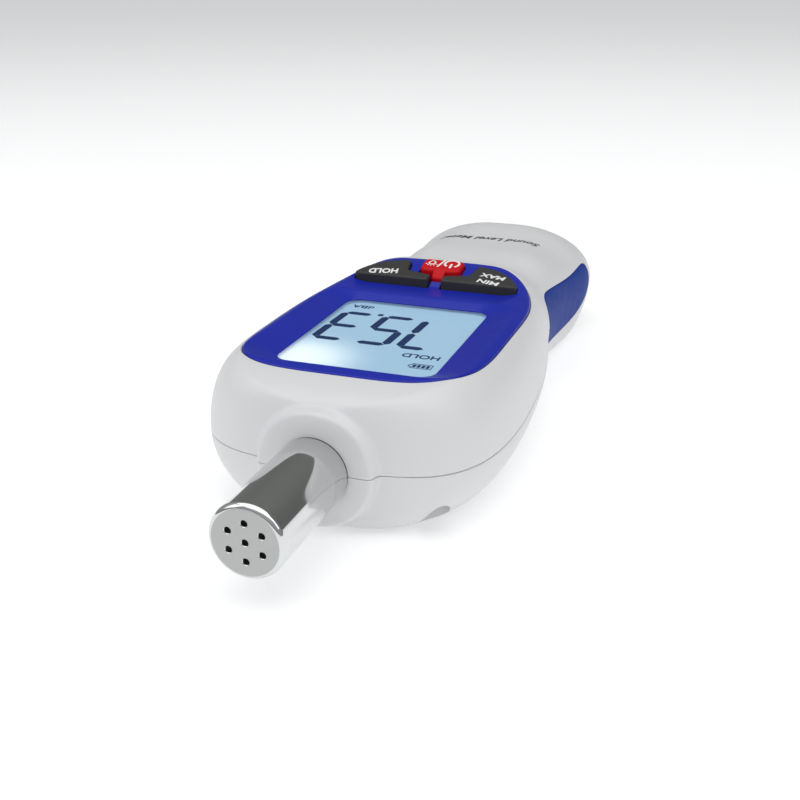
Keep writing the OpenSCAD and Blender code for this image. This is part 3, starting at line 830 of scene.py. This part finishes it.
def power_tongue():
    """Nose of the power key that dips between the arms of the dark keys."""
    rings = []
    for y, top, narrow in (
        (9.3, 27.0, 0.35), (9.4, 27.3, 0.15), (9.6, 27.55, 0.03), (9.9, 27.8, 0), (10.3, 28.1, 0),
        (10.7, 28.4, 0), (11.1, 28.65, 0), (11.6, 28.85, 0), (12.4, 28.95, 0),
    ):
        half = TONGUE_HALF_W - narrow + 0.5 * max(0, (y - 9.9) / 2) ** 2
        edge = rounded([
            (half, FLANGE_TOP_Z, 0), (half, top, 0.5), (-half, top, 0.5), (-half, FLANGE_TOP_Z, 0),
        ])
        rings.append([(x, y, z) for x, z in edge])
    return loft(rings)


def power_key():
    return join(key_cap(power_outline(), power_top, 0.7), power_tongue())


# ---- microphone ----


def mic_tube():
    face = [(TUBE_R - TUBE_EDGE, TUBE_FACE_Y)]
    face += [
        (TUBE_R - TUBE_EDGE + TUBE_EDGE * math.sin(a), TUBE_FACE_Y + TUBE_EDGE - TUBE_EDGE * math.cos(a))
        for a in [math.pi / 2 * k / 10 for k in range(1, 11)]
    ]
    profile = face + [
        (TUBE_R, TUBE_SHOULDER_Y - 0.15), (TUBE_R - 0.15, TUBE_SHOULDER_Y), (TUBE_SEAT_R, TUBE_SHOULDER_Y),
        (TUBE_SEAT_R, TUBE_BACK_Y), (TUBE_BORE_R, TUBE_BACK_Y), (TUBE_BORE_R, TUBE_FACE_Y + TUBE_FACE_T),
    ]
    tube = turned(0, PARTING_Z, profile, 160)
    places = [(0, 0)]
    places += [
        (HOLE_RING_R * math.sin(a), HOLE_RING_R * math.cos(a)) for a in [math.pi / 3 * k for k in range(6)]
    ]
    for x, z in places:
        hole = turned(x, PARTING_Z + z, [
            (HOLE_R + 0.6, TUBE_FACE_Y - 0.5), (HOLE_R, TUBE_FACE_Y + 0.1), (HOLE_R, TUBE_FACE_Y + 2),
        ], 32)
        tube = cut(tube, hole)
    return tube


# ---- battery bay ----


def cell(x, way):
    """One AAA cell: shrunk sleeve with rolled edges, steel ends and a positive button."""
    mid = (BAY_BACK_Y - CONTACT_T - CELL_L / 2) if way > 0 else (BAY_FRONT_Y + CONTACT_T + CELL_L / 2)
    half = CELL_L / 2
    profile = [
        (3.4, -half), (3.9, -half), (4.3, -half + 0.15), (4.75, -half + 0.1), (5.1, -half + 0.3),
        (CELL_R, -half + 0.7), (CELL_R, half - 1.6), (5.1, half - 1.15), (4.7, half - 0.95),
        (4.3, half - 1.1), (4.1, half - 0.85), (2, half - 0.85), (1.85, half - 0.7),
        (1.8, half - 0.15), (1.6, half),
    ]
    return turned(x, CELL_Z, [(r, mid + way * y) for r, y in profile], 64)


def spring(x, way):
    """Coil at a cell's negative end, which widens towards its contact plate."""
    near = (BAY_BACK_Y - CONTACT_T - CELL_L if way > 0 else BAY_FRONT_Y + CONTACT_T + CELL_L) - way * 0.4
    far = (BAY_FRONT_Y + CONTACT_T if way > 0 else BAY_BACK_Y - CONTACT_T) + way * 0.4
    steps = 60
    path = []
    for k in range(steps + 1):
        share = k / steps
        radius = 1.8 + 2 * share
        angle = 2 * math.pi * 2.5 * share
        y = near + (far - near) * share
        path.append((x + radius * math.cos(angle), y, CELL_Z + radius * math.sin(angle)))
    return tube_along(path, 0.35)


def capacitor(x, y, tall):
    """Electrolytic can under the board, with its crimp and its rounded end."""
    profile = [
        (2.3, 0), (2.5, 0.25), (2.5, 0.9), (2.3, 1.15), (2.3, 1.3), (2.5, 1.55),
        (2.5, tall - 0.35), (2.4, tall - 0.1), (2.15, tall),
    ]
    return loft([[(x + a, y + b, BOARD_BOTTOM_Z - down) for a, b in circle(r, 48)] for r, down in profile])


# ---- markings ----


SEGMENTS = {
    "top": ((0, 2), (1, 2)),
    "upper_left": ((0, 1), (0, 2)),
    "upper_right": ((1, 1), (1, 2)),
    "middle": ((0, 1), (1, 1)),
    "lower_right": ((1, 0), (1, 1)),
    "bottom": ((0, 0), (1, 0)),
}
DIGITS = {
    "7": ("top", "upper_right", "lower_right"),
    "5": ("top", "upper_left", "middle", "lower_right", "bottom"),
    "3": ("top", "upper_right", "middle", "lower_right", "bottom"),
}


def reader(points, origin, tilt=0):
    """Points (right, up) as someone holding the meter reads them, laid out in the model's frame."""
    c = math.cos(tilt)
    s = math.sin(tilt)
    return [(origin[0] - (c * a - s * b), origin[1] - (s * a + c * b)) for a, b in points]


def bar_outline(a, b, width, gap):
    """Segment of a digit with pointed ends."""
    a = Vector(a)
    b = Vector(b)
    way = (b - a).normalized()
    side = Vector((-way.y, way.x)) * width / 2
    point = way * width / 2
    start = a + way * gap
    end = b - way * gap
    corners = (
        start, start + point - side, end - point - side,
        end, end - point + side, start + point + side,
    )
    return [tuple(corner) for corner in corners]


def digit(name, x, width, low, tall):
    """Prisms of one seven-segment digit; its left edge stands at x as read."""
    prisms = []
    lean = 0.03
    stroke = 1.6
    for part in DIGITS[name]:
        ends = []
        for right, up in SEGMENTS[part]:
            b = stroke / 2 + (tall - stroke) * up / 2
            ends.append((stroke / 2 + (width - stroke) * right + lean * b, b))
        bar = bar_outline(ends[0], ends[1], stroke, 0.12)
        prisms.append(ink(reader(bar, (x, low)), GLASS_TOP_Z))
    return prisms


def ink(outline, z):
    return prism(outline, z, z + INK_T)


def strip(points, width):
    """Outline of a stroke along points."""
    left = []
    right = []
    last = len(points) - 1
    for k, p in enumerate(points):
        way = (Vector(points[min(k + 1, last)]) - Vector(points[max(k - 1, 0)])).normalized()
        side = Vector((-way.y, way.x)) * width / 2
        left.append(tuple(Vector(p) + side))
        right.append(tuple(Vector(p) - side))
    return left + right[::-1]


def arc(centre, radius, start, end, steps=24):
    angles = [math.radians(start + (end - start) * k / steps) for k in range(steps + 1)]
    return [(centre[0] + radius * math.cos(a), centre[1] + radius * math.sin(a)) for a in angles]


def words(text, origin, tall, z, tilt=0, width=None, slant=0, weight=0.0):
    """Flat lettering with its left foot at origin as read; a width stretches it to that length."""
    curve = bpy.data.curves.new("words", "FONT")
    curve.body = text
    curve.size = 10
    curve.resolution_u = 3
    curve.offset = weight
    curve.extrude = 1
    obj = bpy.data.objects.new("words", curve)
    bpy.context.scene.collection.objects.link(obj)
    mesh = bpy.data.meshes.new_from_object(obj.evaluated_get(bpy.context.evaluated_depsgraph_get()))
    bpy.data.objects.remove(obj)
    left = min(v.co.x for v in mesh.vertices)
    right = max(v.co.x for v in mesh.vertices)
    high = max(v.co.y for v in mesh.vertices)
    up = tall / high
    along = width / (right - left) if width else up
    for v in mesh.vertices:
        a = (v.co.x - left) * along + slant * v.co.y * up
        b = v.co.y * up
        x, y = reader([(a, b)], origin, tilt)[0]
        v.co = (x, y, z + (INK_T if v.co.z > 0 else 0))
    mesh.flip_normals()
    return outwards(mesh)


def outwards(mesh):
    shape = bmesh.new()
    shape.from_mesh(mesh)
    bmesh.ops.remove_doubles(shape, verts=shape.verts, dist=0.0005)
    bmesh.ops.recalc_face_normals(shape, faces=shape.faces)
    shape.to_mesh(mesh)
    shape.free()
    return mesh


def merged(meshes):
    """Meshes put together in one, without a boolean."""
    points = []
    faces = []
    for mesh in meshes:
        start = len(points)
        points += [tuple(v.co) for v in mesh.vertices]
        faces += [tuple(start + i for i in f.vertices) for f in mesh.polygons]
    whole = bpy.data.meshes.new("merged")
    whole.from_pydata(points, [], faces)
    return whole


def battery_sign():
    """Outline of a battery with four bars in it."""
    frame_line = [
        (12.9, -35.1), (9.1, -35.1), (9.1, -34.5), (8.6, -34.5),
        (8.6, -33.6), (9.1, -33.6), (9.1, -33.0), (12.9, -33.0),
    ]
    sides = zip(frame_line, frame_line[1:] + frame_line[:1])
    parts = [ink(strip(side, 0.16), GLASS_TOP_Z) for side in sides]
    for k in range(4):
        x = 12.5 - 0.85 * k
        parts.append(ink(rectangle((x - 0.6, -34.7), (x, -33.4)), GLASS_TOP_Z))
    return parts


def display_ink():
    parts = []
    for name, x, width in (("7", 9.9, 6.6), ("5", 2.1, 7.3), ("3", -6.8, 7.1)):
        parts += digit(name, x, width, -8.8, 17.4)
    parts.append(ink(rectangle((-6.5, -9.6), (-5.4, -8.5)), GLASS_TOP_Z))
    parts.append(words("dBA", (-8.9, -4.3), 1.7, GLASS_TOP_Z, width=4.7, weight=0.15))
    parts.append(words("HOLD", (12.9, -28.4), 1.9, GLASS_TOP_Z, width=7.2, weight=0.2))
    return merged(parts + battery_sign())


def on_slope(mesh, top):
    """Flat lettering laid on a key's sloping top."""
    for v in mesh.vertices:
        v.co.z += top(v.co.y)
    return mesh


def power_legend():
    """Power symbol, slash and lamp, for the key that switches the meter and its backlight."""
    symbol = (2, 14)
    lamp = (-2.4, 13.8)
    parts = [
        ink(strip(reader(arc((0, 0), 1.55, 125, 415), symbol), 0.5), 0),
        ink(strip(reader([(0, 0.1), (0, 2)], symbol), 0.5), 0),
        ink(strip([(-0.8, 12.1), (0.1, 15.6)], 0.42), 0),
        ink(strip(reader(arc((0, 0), 0.7, -60, 240), lamp), 0.34), 0),
        ink(strip(reader([(-0.4, -0.9), (0.4, -0.9)], lamp), 0.28), 0),
    ]
    for angle in (30, 60, 90, 120, 150):
        way = (math.cos(math.radians(angle)), math.sin(math.radians(angle)))
        ray = [(1.05 * way[0], 1.05 * way[1]), (1.5 * way[0], 1.5 * way[1])]
        parts.append(ink(strip(reader(ray, lamp), 0.22), 0))
    return on_slope(merged(parts), power_top)


def handle_words():
    """Generic words printed on the handle, laid on its curved surface."""
    mesh = words("Sound Level Meter", (12.4, 55.2), 2.5, 0, width=25.4, slant=0.2, weight=0.25)
    shape = bmesh.new()
    shape.from_mesh(mesh)
    long_edges = [e for e in shape.edges if e.calc_length() > 0.5]
    bmesh.ops.subdivide_edges(shape, edges=long_edges, cuts=2)
    bmesh.ops.triangulate(shape, faces=shape.faces)
    for v in shape.verts:
        v.co.z = height(SKIN, v.co.x, v.co.y) + (0.03 if v.co.z > INK_T / 2 else -0.03)
    shape.to_mesh(mesh)
    shape.free()
    return mesh


# ---- materials ----


class Nodes:
    """A material's node tree, with short ways to add to it."""

    def __init__(self, name):
        self.material = bpy.data.materials.new(name)
        self.material.use_nodes = True
        self.tree = self.material.node_tree
        self.shader = self.tree.nodes["Principled BSDF"]
        self.coords = self.add("ShaderNodeTexCoord").outputs["Object"]

    def add(self, kind, **settings):
        node = self.tree.nodes.new(kind)
        for key, value in settings.items():
            setattr(node, key, value)
        return node

    def link(self, output, target):
        self.tree.links.new(output, target)

    def put(self, **values):
        for key, value in values.items():
            self.shader.inputs[key.replace("_", " ")].default_value = value

    def noise(self, scale, detail=3):
        node = self.add("ShaderNodeTexNoise")
        node.inputs["Scale"].default_value = scale
        node.inputs["Detail"].default_value = detail
        self.link(self.coords, node.inputs["Vector"])
        return node.outputs["Fac"]

    def spread(self, value, low, high):
        """The value, from 0 to 1, as a number from low to high."""
        node = self.add("ShaderNodeMapRange")
        node.inputs["To Min"].default_value = low
        node.inputs["To Max"].default_value = high
        self.link(value, node.inputs["Value"])
        return node.outputs["Result"]

    def mix(self, share, first, second):
        node = self.add("ShaderNodeMix", data_type="RGBA")
        node.inputs[6].default_value = (*first, 1)
        node.inputs[7].default_value = (*second, 1)
        self.link(share, node.inputs[0])
        return node.outputs[2]

    def bump(self, value, strength, distance):
        node = self.add("ShaderNodeBump")
        node.inputs["Strength"].default_value = strength
        node.inputs["Distance"].default_value = distance
        self.link(value, node.inputs["Height"])
        self.link(node.outputs["Normal"], self.shader.inputs["Normal"])


def finish_of(name, colour, rough, grain=9000, depth=0.00001, shade=0.04, **values):
    """Moulded or plain surface: fine grain, slightly uneven gloss and a trace of colour change."""
    nodes = Nodes(name)
    nodes.put(**values)
    cloudy = nodes.noise(60)
    tint = nodes.mix(cloudy, [c * (1 - shade) for c in colour], [min(1, c * (1 + shade)) for c in colour])
    nodes.link(tint, nodes.shader.inputs["Base Color"])
    nodes.link(nodes.spread(nodes.noise(350), rough * 0.85, rough * 1.15), nodes.shader.inputs["Roughness"])
    nodes.bump(nodes.noise(grain, 2), 0.25, depth)
    return nodes.material


def display_glass():
    """Backlit liquid crystal display: pale blue, with a whiter patch where the lamp sits close."""
    nodes = Nodes("lcd")
    apart = nodes.add("ShaderNodeVectorMath", operation="DISTANCE")
    apart.inputs[1].default_value = (-0.0125, -0.0375, 0.024)
    nodes.link(nodes.coords, apart.inputs[0])
    fall = nodes.add("ShaderNodeMapRange", interpolation_type="SMOOTHERSTEP")
    fall.inputs["From Min"].default_value = 0.001
    fall.inputs["From Max"].default_value = 0.017
    fall.inputs["To Min"].default_value = 1
    fall.inputs["To Max"].default_value = 0
    nodes.link(apart.outputs["Value"], fall.inputs["Value"])
    glow = nodes.mix(fall.outputs["Result"], (0.33, 0.49, 0.63), (0.86, 0.95, 0.98))
    nodes.link(glow, nodes.shader.inputs["Base Color"])
    nodes.link(glow, nodes.shader.inputs["Emission Color"])
    nodes.put(Emission_Strength=0.4, Roughness=0.35)
    nodes.bump(nodes.noise(5000), 0.05, 0.00001)
    return nodes.material


def clear_window():
    nodes = Nodes("window_clear")
    clear = nodes.add("ShaderNodeBsdfTransparent")
    clear.inputs["Color"].default_value = (0.97, 0.985, 0.99, 1)
    glossy = nodes.add("ShaderNodeBsdfGlossy")
    nodes.link(nodes.spread(nodes.noise(200), 0.10, 0.14), glossy.inputs["Roughness"])
    mix = nodes.add("ShaderNodeMixShader")
    mix.inputs["Fac"].default_value = 0.02
    nodes.link(clear.outputs["BSDF"], mix.inputs[1])
    nodes.link(glossy.outputs["BSDF"], mix.inputs[2])
    output = nodes.tree.nodes["Material Output"]
    nodes.link(mix.outputs["Shader"], output.inputs["Surface"])
    return nodes.material


def metal(name, colour, rough, grain=4000, depth=0.000003):
    return finish_of(name, colour, rough, grain, depth, 0.02, Metallic=1.0)


def tube_metal():
    """Polished tube with a brushed face around the holes."""
    nodes = Nodes("chrome")
    split = nodes.add("ShaderNodeSeparateXYZ")
    nodes.link(nodes.coords, split.inputs["Vector"])
    face = nodes.add("ShaderNodeMath", operation="LESS_THAN")
    face.inputs[1].default_value = (TUBE_FACE_Y + 0.03) * METRES
    nodes.link(split.outputs["Y"], face.inputs[0])
    tint = nodes.mix(face.outputs["Value"], (0.66, 0.67, 0.67), (0.44, 0.45, 0.44))
    nodes.link(tint, nodes.shader.inputs["Base Color"])
    nodes.link(nodes.spread(face.outputs["Value"], 0.07, 0.4), nodes.shader.inputs["Roughness"])
    nodes.put(Metallic=1.0)
    nodes.bump(nodes.noise(1500, 2), 0.25, 0.000001)
    return nodes.material


def board():
    """Solder mask with tracks under it."""
    nodes = Nodes("pcb_green")
    tracks = nodes.add("ShaderNodeTexBrick")
    tracks.inputs["Scale"].default_value = 130
    tracks.inputs["Mortar Size"].default_value = 0.03
    tracks.inputs["Color1"].default_value = (0.01, 0.16, 0.07, 1)
    tracks.inputs["Color2"].default_value = (0.012, 0.19, 0.085, 1)
    tracks.inputs["Mortar"].default_value = (0.03, 0.30, 0.13, 1)
    nodes.link(nodes.coords, tracks.inputs["Vector"])
    nodes.link(tracks.outputs["Color"], nodes.shader.inputs["Base Color"])
    nodes.link(nodes.spread(nodes.noise(400), 0.28, 0.4), nodes.shader.inputs["Roughness"])
    nodes.bump(tracks.outputs["Fac"], 0.2, 0.00002)
    return nodes.material


def cloth():
    """Woven dust screen."""
    nodes = Nodes("screen_cloth")
    weave = nodes.add("ShaderNodeTexChecker")
    weave.inputs["Scale"].default_value = 5000
    weave.inputs["Color1"].default_value = (0.012, 0.012, 0.012, 1)
    weave.inputs["Color2"].default_value = (0.03, 0.03, 0.032, 1)
    nodes.link(nodes.coords, weave.inputs["Vector"])
    nodes.link(weave.outputs["Color"], nodes.shader.inputs["Base Color"])
    nodes.put(Roughness=0.9)
    nodes.bump(weave.outputs["Fac"], 0.3, 0.00003)
    return nodes.material


def cell_wrap(steel_end):
    """Plain shrunk sleeve with a coppery band near the positive end; the bare ends, steel on a real cell,
    take the sleeve's or the band's colour here.
    """
    nodes = Nodes("cell_wrap_" + ("back" if steel_end > 0 else "front"))
    split = nodes.add("ShaderNodeSeparateXYZ")
    nodes.link(nodes.coords, split.inputs["Vector"])
    mid = 0.0526 if steel_end > 0 else 0.0492
    band = nodes.add("ShaderNodeMath", operation="GREATER_THAN" if steel_end > 0 else "LESS_THAN")
    band.inputs[1].default_value = mid + steel_end * 0.011
    nodes.link(split.outputs["Y"], band.inputs[0])
    tint = nodes.mix(band.outputs["Value"], (0.02, 0.02, 0.024), (0.55, 0.25, 0.08))
    nodes.link(tint, nodes.shader.inputs["Base Color"])
    nodes.link(nodes.spread(nodes.noise(300), 0.22, 0.3), nodes.shader.inputs["Roughness"])
    nodes.put(Metallic=0.3)
    nodes.bump(nodes.noise(900), 0.1, 0.00001)
    return nodes.material


MATERIALS = {
    "case_white": finish_of("case_white", (0.71, 0.71, 0.72), 0.42, 7000, 0.000012, 0.01),
    "bezel_blue": finish_of("bezel_blue", (0.006, 0.018, 0.38), 0.34, 8000, Specular_IOR_Level=0.35),
    "window_clear": clear_window(),
    "lcd": display_glass(),
    "diffuser_white": finish_of("diffuser_white", (0.85, 0.88, 0.90), 0.5),
    "led": finish_of("led", (0.75, 0.85, 0.95), 0.2),
    "frame_ivory": finish_of("frame_ivory", (0.78, 0.76, 0.70), 0.5),
    "black_rubber": finish_of("black_rubber", (0.02, 0.02, 0.02), 0.7),
    "pcb_green": board(),
    "steel": metal("steel", (0.62, 0.62, 0.62), 0.28),
    "chip_black": finish_of("chip_black", (0.015, 0.015, 0.016), 0.45),
    "capacitor": finish_of("capacitor", (0.05, 0.06, 0.12), 0.3),
    "key_dark": finish_of("key_dark", (0.036, 0.036, 0.034), 0.5, 6000, 0.00002, Specular_IOR_Level=0.35),
    "key_red": finish_of("key_red", (0.58, 0.002, 0.006), 0.45, 7000, 0.00001, Specular_IOR_Level=0.2),
    "chrome": tube_metal(),
    "screen_cloth": cloth(),
    "aluminium": metal("aluminium", (0.75, 0.75, 0.76), 0.35),
    "black_plastic": finish_of("black_plastic", (0.03, 0.03, 0.03), 0.45),
    "wire_orange": finish_of("wire_orange", (0.70, 0.14, 0.02), 0.4),
    "wire_red": finish_of("wire_red", (0.55, 0.02, 0.02), 0.4),
    "grip_blue": finish_of("grip_blue", (0.012, 0.042, 0.27), 0.6, 6000, 0.00002, Specular_IOR_Level=0.15),
}
WHITE_INK = finish_of("white_ink", (0.85, 0.85, 0.85), 0.5)
GREY_INK = finish_of("grey_ink", (0.05, 0.05, 0.055), 0.5)
DISPLAY_INK = finish_of("display_ink", (0.008, 0.032, 0.13), 0.3, Specular_IOR_Level=0.2)


def paint_cad_nodes():
    for part in frame["record"]["subparts"]:
        node = frame["nodes"][part["node"]]
        if part["material_slot"] in MATERIALS and not node.hide_render:
            node.data.materials.clear()
            node.data.materials.append(MATERIALS[part["material_slot"]])


# ---- scene ----


def build_case():
    white = MATERIALS["case_white"]
    as_piece("front_case", front_shell(), "case", white, ["front_shell"])
    as_piece("rear_case", rear_shell(), "case", white, ["rear_shell"])
    as_piece("display_surround", bezel(), "case", MATERIALS["bezel_blue"], ["bezel"])
    as_piece("side_grip_left", grip(1), "case", MATERIALS["grip_blue"], ["grip_left"])
    as_piece("side_grip_right", grip(-1), "case", MATERIALS["grip_blue"], ["grip_right"])
    as_piece("door_cover", battery_door(), "door", white, ["battery_door"])
    as_piece("handle_words", handle_words(), "case", GREY_INK)
    as_piece("display_ink", display_ink(), "case", DISPLAY_INK)


def build_keys():
    dark = MATERIALS["key_dark"]
    outline = dark_key_outline()
    right = key_cap(outline, dark_top, 0.4)
    left = key_cap(mirrored(outline), dark_top, 0.4)
    as_piece("min_max_cap", right, "min_max_key", dark, ["key_min_max"])
    as_piece("hold_cap", left, "hold_key", dark, ["key_hold"])
    as_piece("power_cap", power_key(), "power_key", MATERIALS["key_red"], ["key_power"])
    as_piece("power_legend", power_legend(), "power_key", WHITE_INK)
    hold = words("HOLD", (-8.95, 10.3), 2.1, 0, math.radians(10), 6.4, 0, 0.35)
    as_piece("hold_legend", on_slope(hold, dark_top), "hold_key", WHITE_INK)
    low = words("MIN", (14.1, 8.35), 1.5, 0, math.radians(-12), 4.8, 0, 0.3)
    high = words("MAX", (14.8, 10.95), 1.5, 0, math.radians(-12), 5.6, 0, 0.3)
    as_piece("min_max_legend", on_slope(merged([low, high]), dark_top), "min_max_key", WHITE_INK)


def build_microphone():
    as_piece("chrome_tube", mic_tube(), "case", MATERIALS["chrome"], ["mic_tube"])


def build_inside():
    cells = [cell(x, way) for x, way in zip(CELL_X, CELL_WAYS)]
    outer = merged([cells[0], cells[2]])
    as_piece("outer_cells", outer, "case", cell_wrap(1), ["batteries"])
    as_piece("middle_cell", cells[1], "case", cell_wrap(-1), ["batteries"])
    springs = merged([spring(x, way) for x, way in zip(CELL_X, CELL_WAYS)])
    as_piece("coil_springs", springs, "case", MATERIALS["steel"], ["battery_springs"])
    cans = merged([capacitor(*place) for place in CAPACITORS])
    as_piece("capacitor_cans", cans, "case", MATERIALS["capacitor"], ["capacitors"])


def area_light(name, place, target, size, power, colour=(1, 1, 1)):
    light = bpy.data.lights.new(name, "AREA")
    light.shape = "RECTANGLE"
    light.size = size[0]
    light.size_y = size[1]
    light.energy = power
    light.color = colour
    obj = bpy.data.objects.new(name, light)
    bpy.context.scene.collection.objects.link(obj)
    obj.location = place
    obj.rotation_euler = (Vector(target) - Vector(place)).to_track_quat("-Z", "Y").to_euler()


def floor():
    half = 3
    corners = [(x, y, 0) for x, y in rectangle((-half, -half), (half, half))]
    mesh = bpy.data.meshes.new("floor")
    mesh.from_pydata(corners, [], [(0, 1, 2, 3)])
    obj = bpy.data.objects.new("floor", mesh)
    obj.location.z = -0.0002
    bpy.context.scene.collection.objects.link(obj)
    nodes = Nodes("floor")
    nodes.put(Base_Color=(0.9, 0.9, 0.9, 1), Roughness=0.9)
    nodes.put(Emission_Color=(1, 1, 1, 1), Emission_Strength=0.3)
    obj.data.materials.append(nodes.material)


def world():
    """White studio, dimmer towards the floor, with a greenish grey end behind and above the handle."""
    sky = bpy.data.worlds.new("studio")
    sky.use_nodes = True
    tree = sky.node_tree
    coords = tree.nodes.new("ShaderNodeTexCoord")
    toward = tree.nodes.new("ShaderNodeVectorMath")
    toward.operation = "DOT_PRODUCT"
    toward.inputs[1].default_value = Vector((0.1, 0.86, 0.5)).normalized()
    tree.links.new(coords.outputs["Generated"], toward.inputs[0])
    edge = tree.nodes.new("ShaderNodeMapRange")
    edge.interpolation_type = "SMOOTHSTEP"
    edge.inputs["From Min"].default_value = 0.3
    edge.inputs["From Max"].default_value = 0.9
    tree.links.new(toward.outputs["Value"], edge.inputs["Value"])
    split = tree.nodes.new("ShaderNodeSeparateXYZ")
    tree.links.new(coords.outputs["Generated"], split.inputs["Vector"])
    fade = tree.nodes.new("ShaderNodeMapRange")
    fade.inputs["From Min"].default_value = 0
    fade.inputs["From Max"].default_value = 0.6
    fade.inputs["To Min"].default_value = 0.29
    fade.inputs["To Max"].default_value = 0.47
    tree.links.new(split.outputs["Z"], fade.inputs["Value"])
    mix = tree.nodes.new("ShaderNodeMix")
    mix.data_type = "RGBA"
    mix.inputs[6].default_value = (0.95, 0.97, 1, 1)
    mix.inputs[7].default_value = (0.42, 0.43, 0.41, 1)
    tree.links.new(edge.outputs["Result"], mix.inputs[0])
    background = tree.nodes["Background"]
    tree.links.new(mix.outputs[2], background.inputs["Color"])
    tree.links.new(fade.outputs["Result"], background.inputs["Strength"])
    bpy.context.scene.world = sky
    bpy.context.scene.view_settings.view_transform = "Standard"


def camera():
    data = bpy.data.cameras.new("camera")
    data.lens = 49.5
    data.sensor_width = 36
    data.clip_start = 0.01
    obj = bpy.data.objects.new("camera", data)
    bpy.context.scene.collection.objects.link(obj)
    right = Vector((0.9433, 0.3318, 0.0018))
    up = Vector((-0.1291, 0.3619, 0.9232))
    back = Vector((0.3057, -0.8711, 0.3843))
    turn = Matrix((right, up, back)).transposed().to_4x4()
    obj.matrix_world = Matrix.Translation((0.0679, -0.2077, 0.0937)) @ turn
    bpy.context.scene.camera = obj


def lights():
    middle = (0, 0, 0.02)
    area_light("top", (0.05, -0.1, 0.72), middle, (1.2, 1), 4.4)
    area_light("left", (-0.5, -0.4, 0.4), middle, (0.4, 0.4), 0.6)
    area_light("right", (0.6, -0.1, 0.4), middle, (0.3, 0.4), 0.45)


build_case()
build_keys()
build_microphone()
build_inside()
paint_cad_nodes()
world()
floor()
lights()
camera()
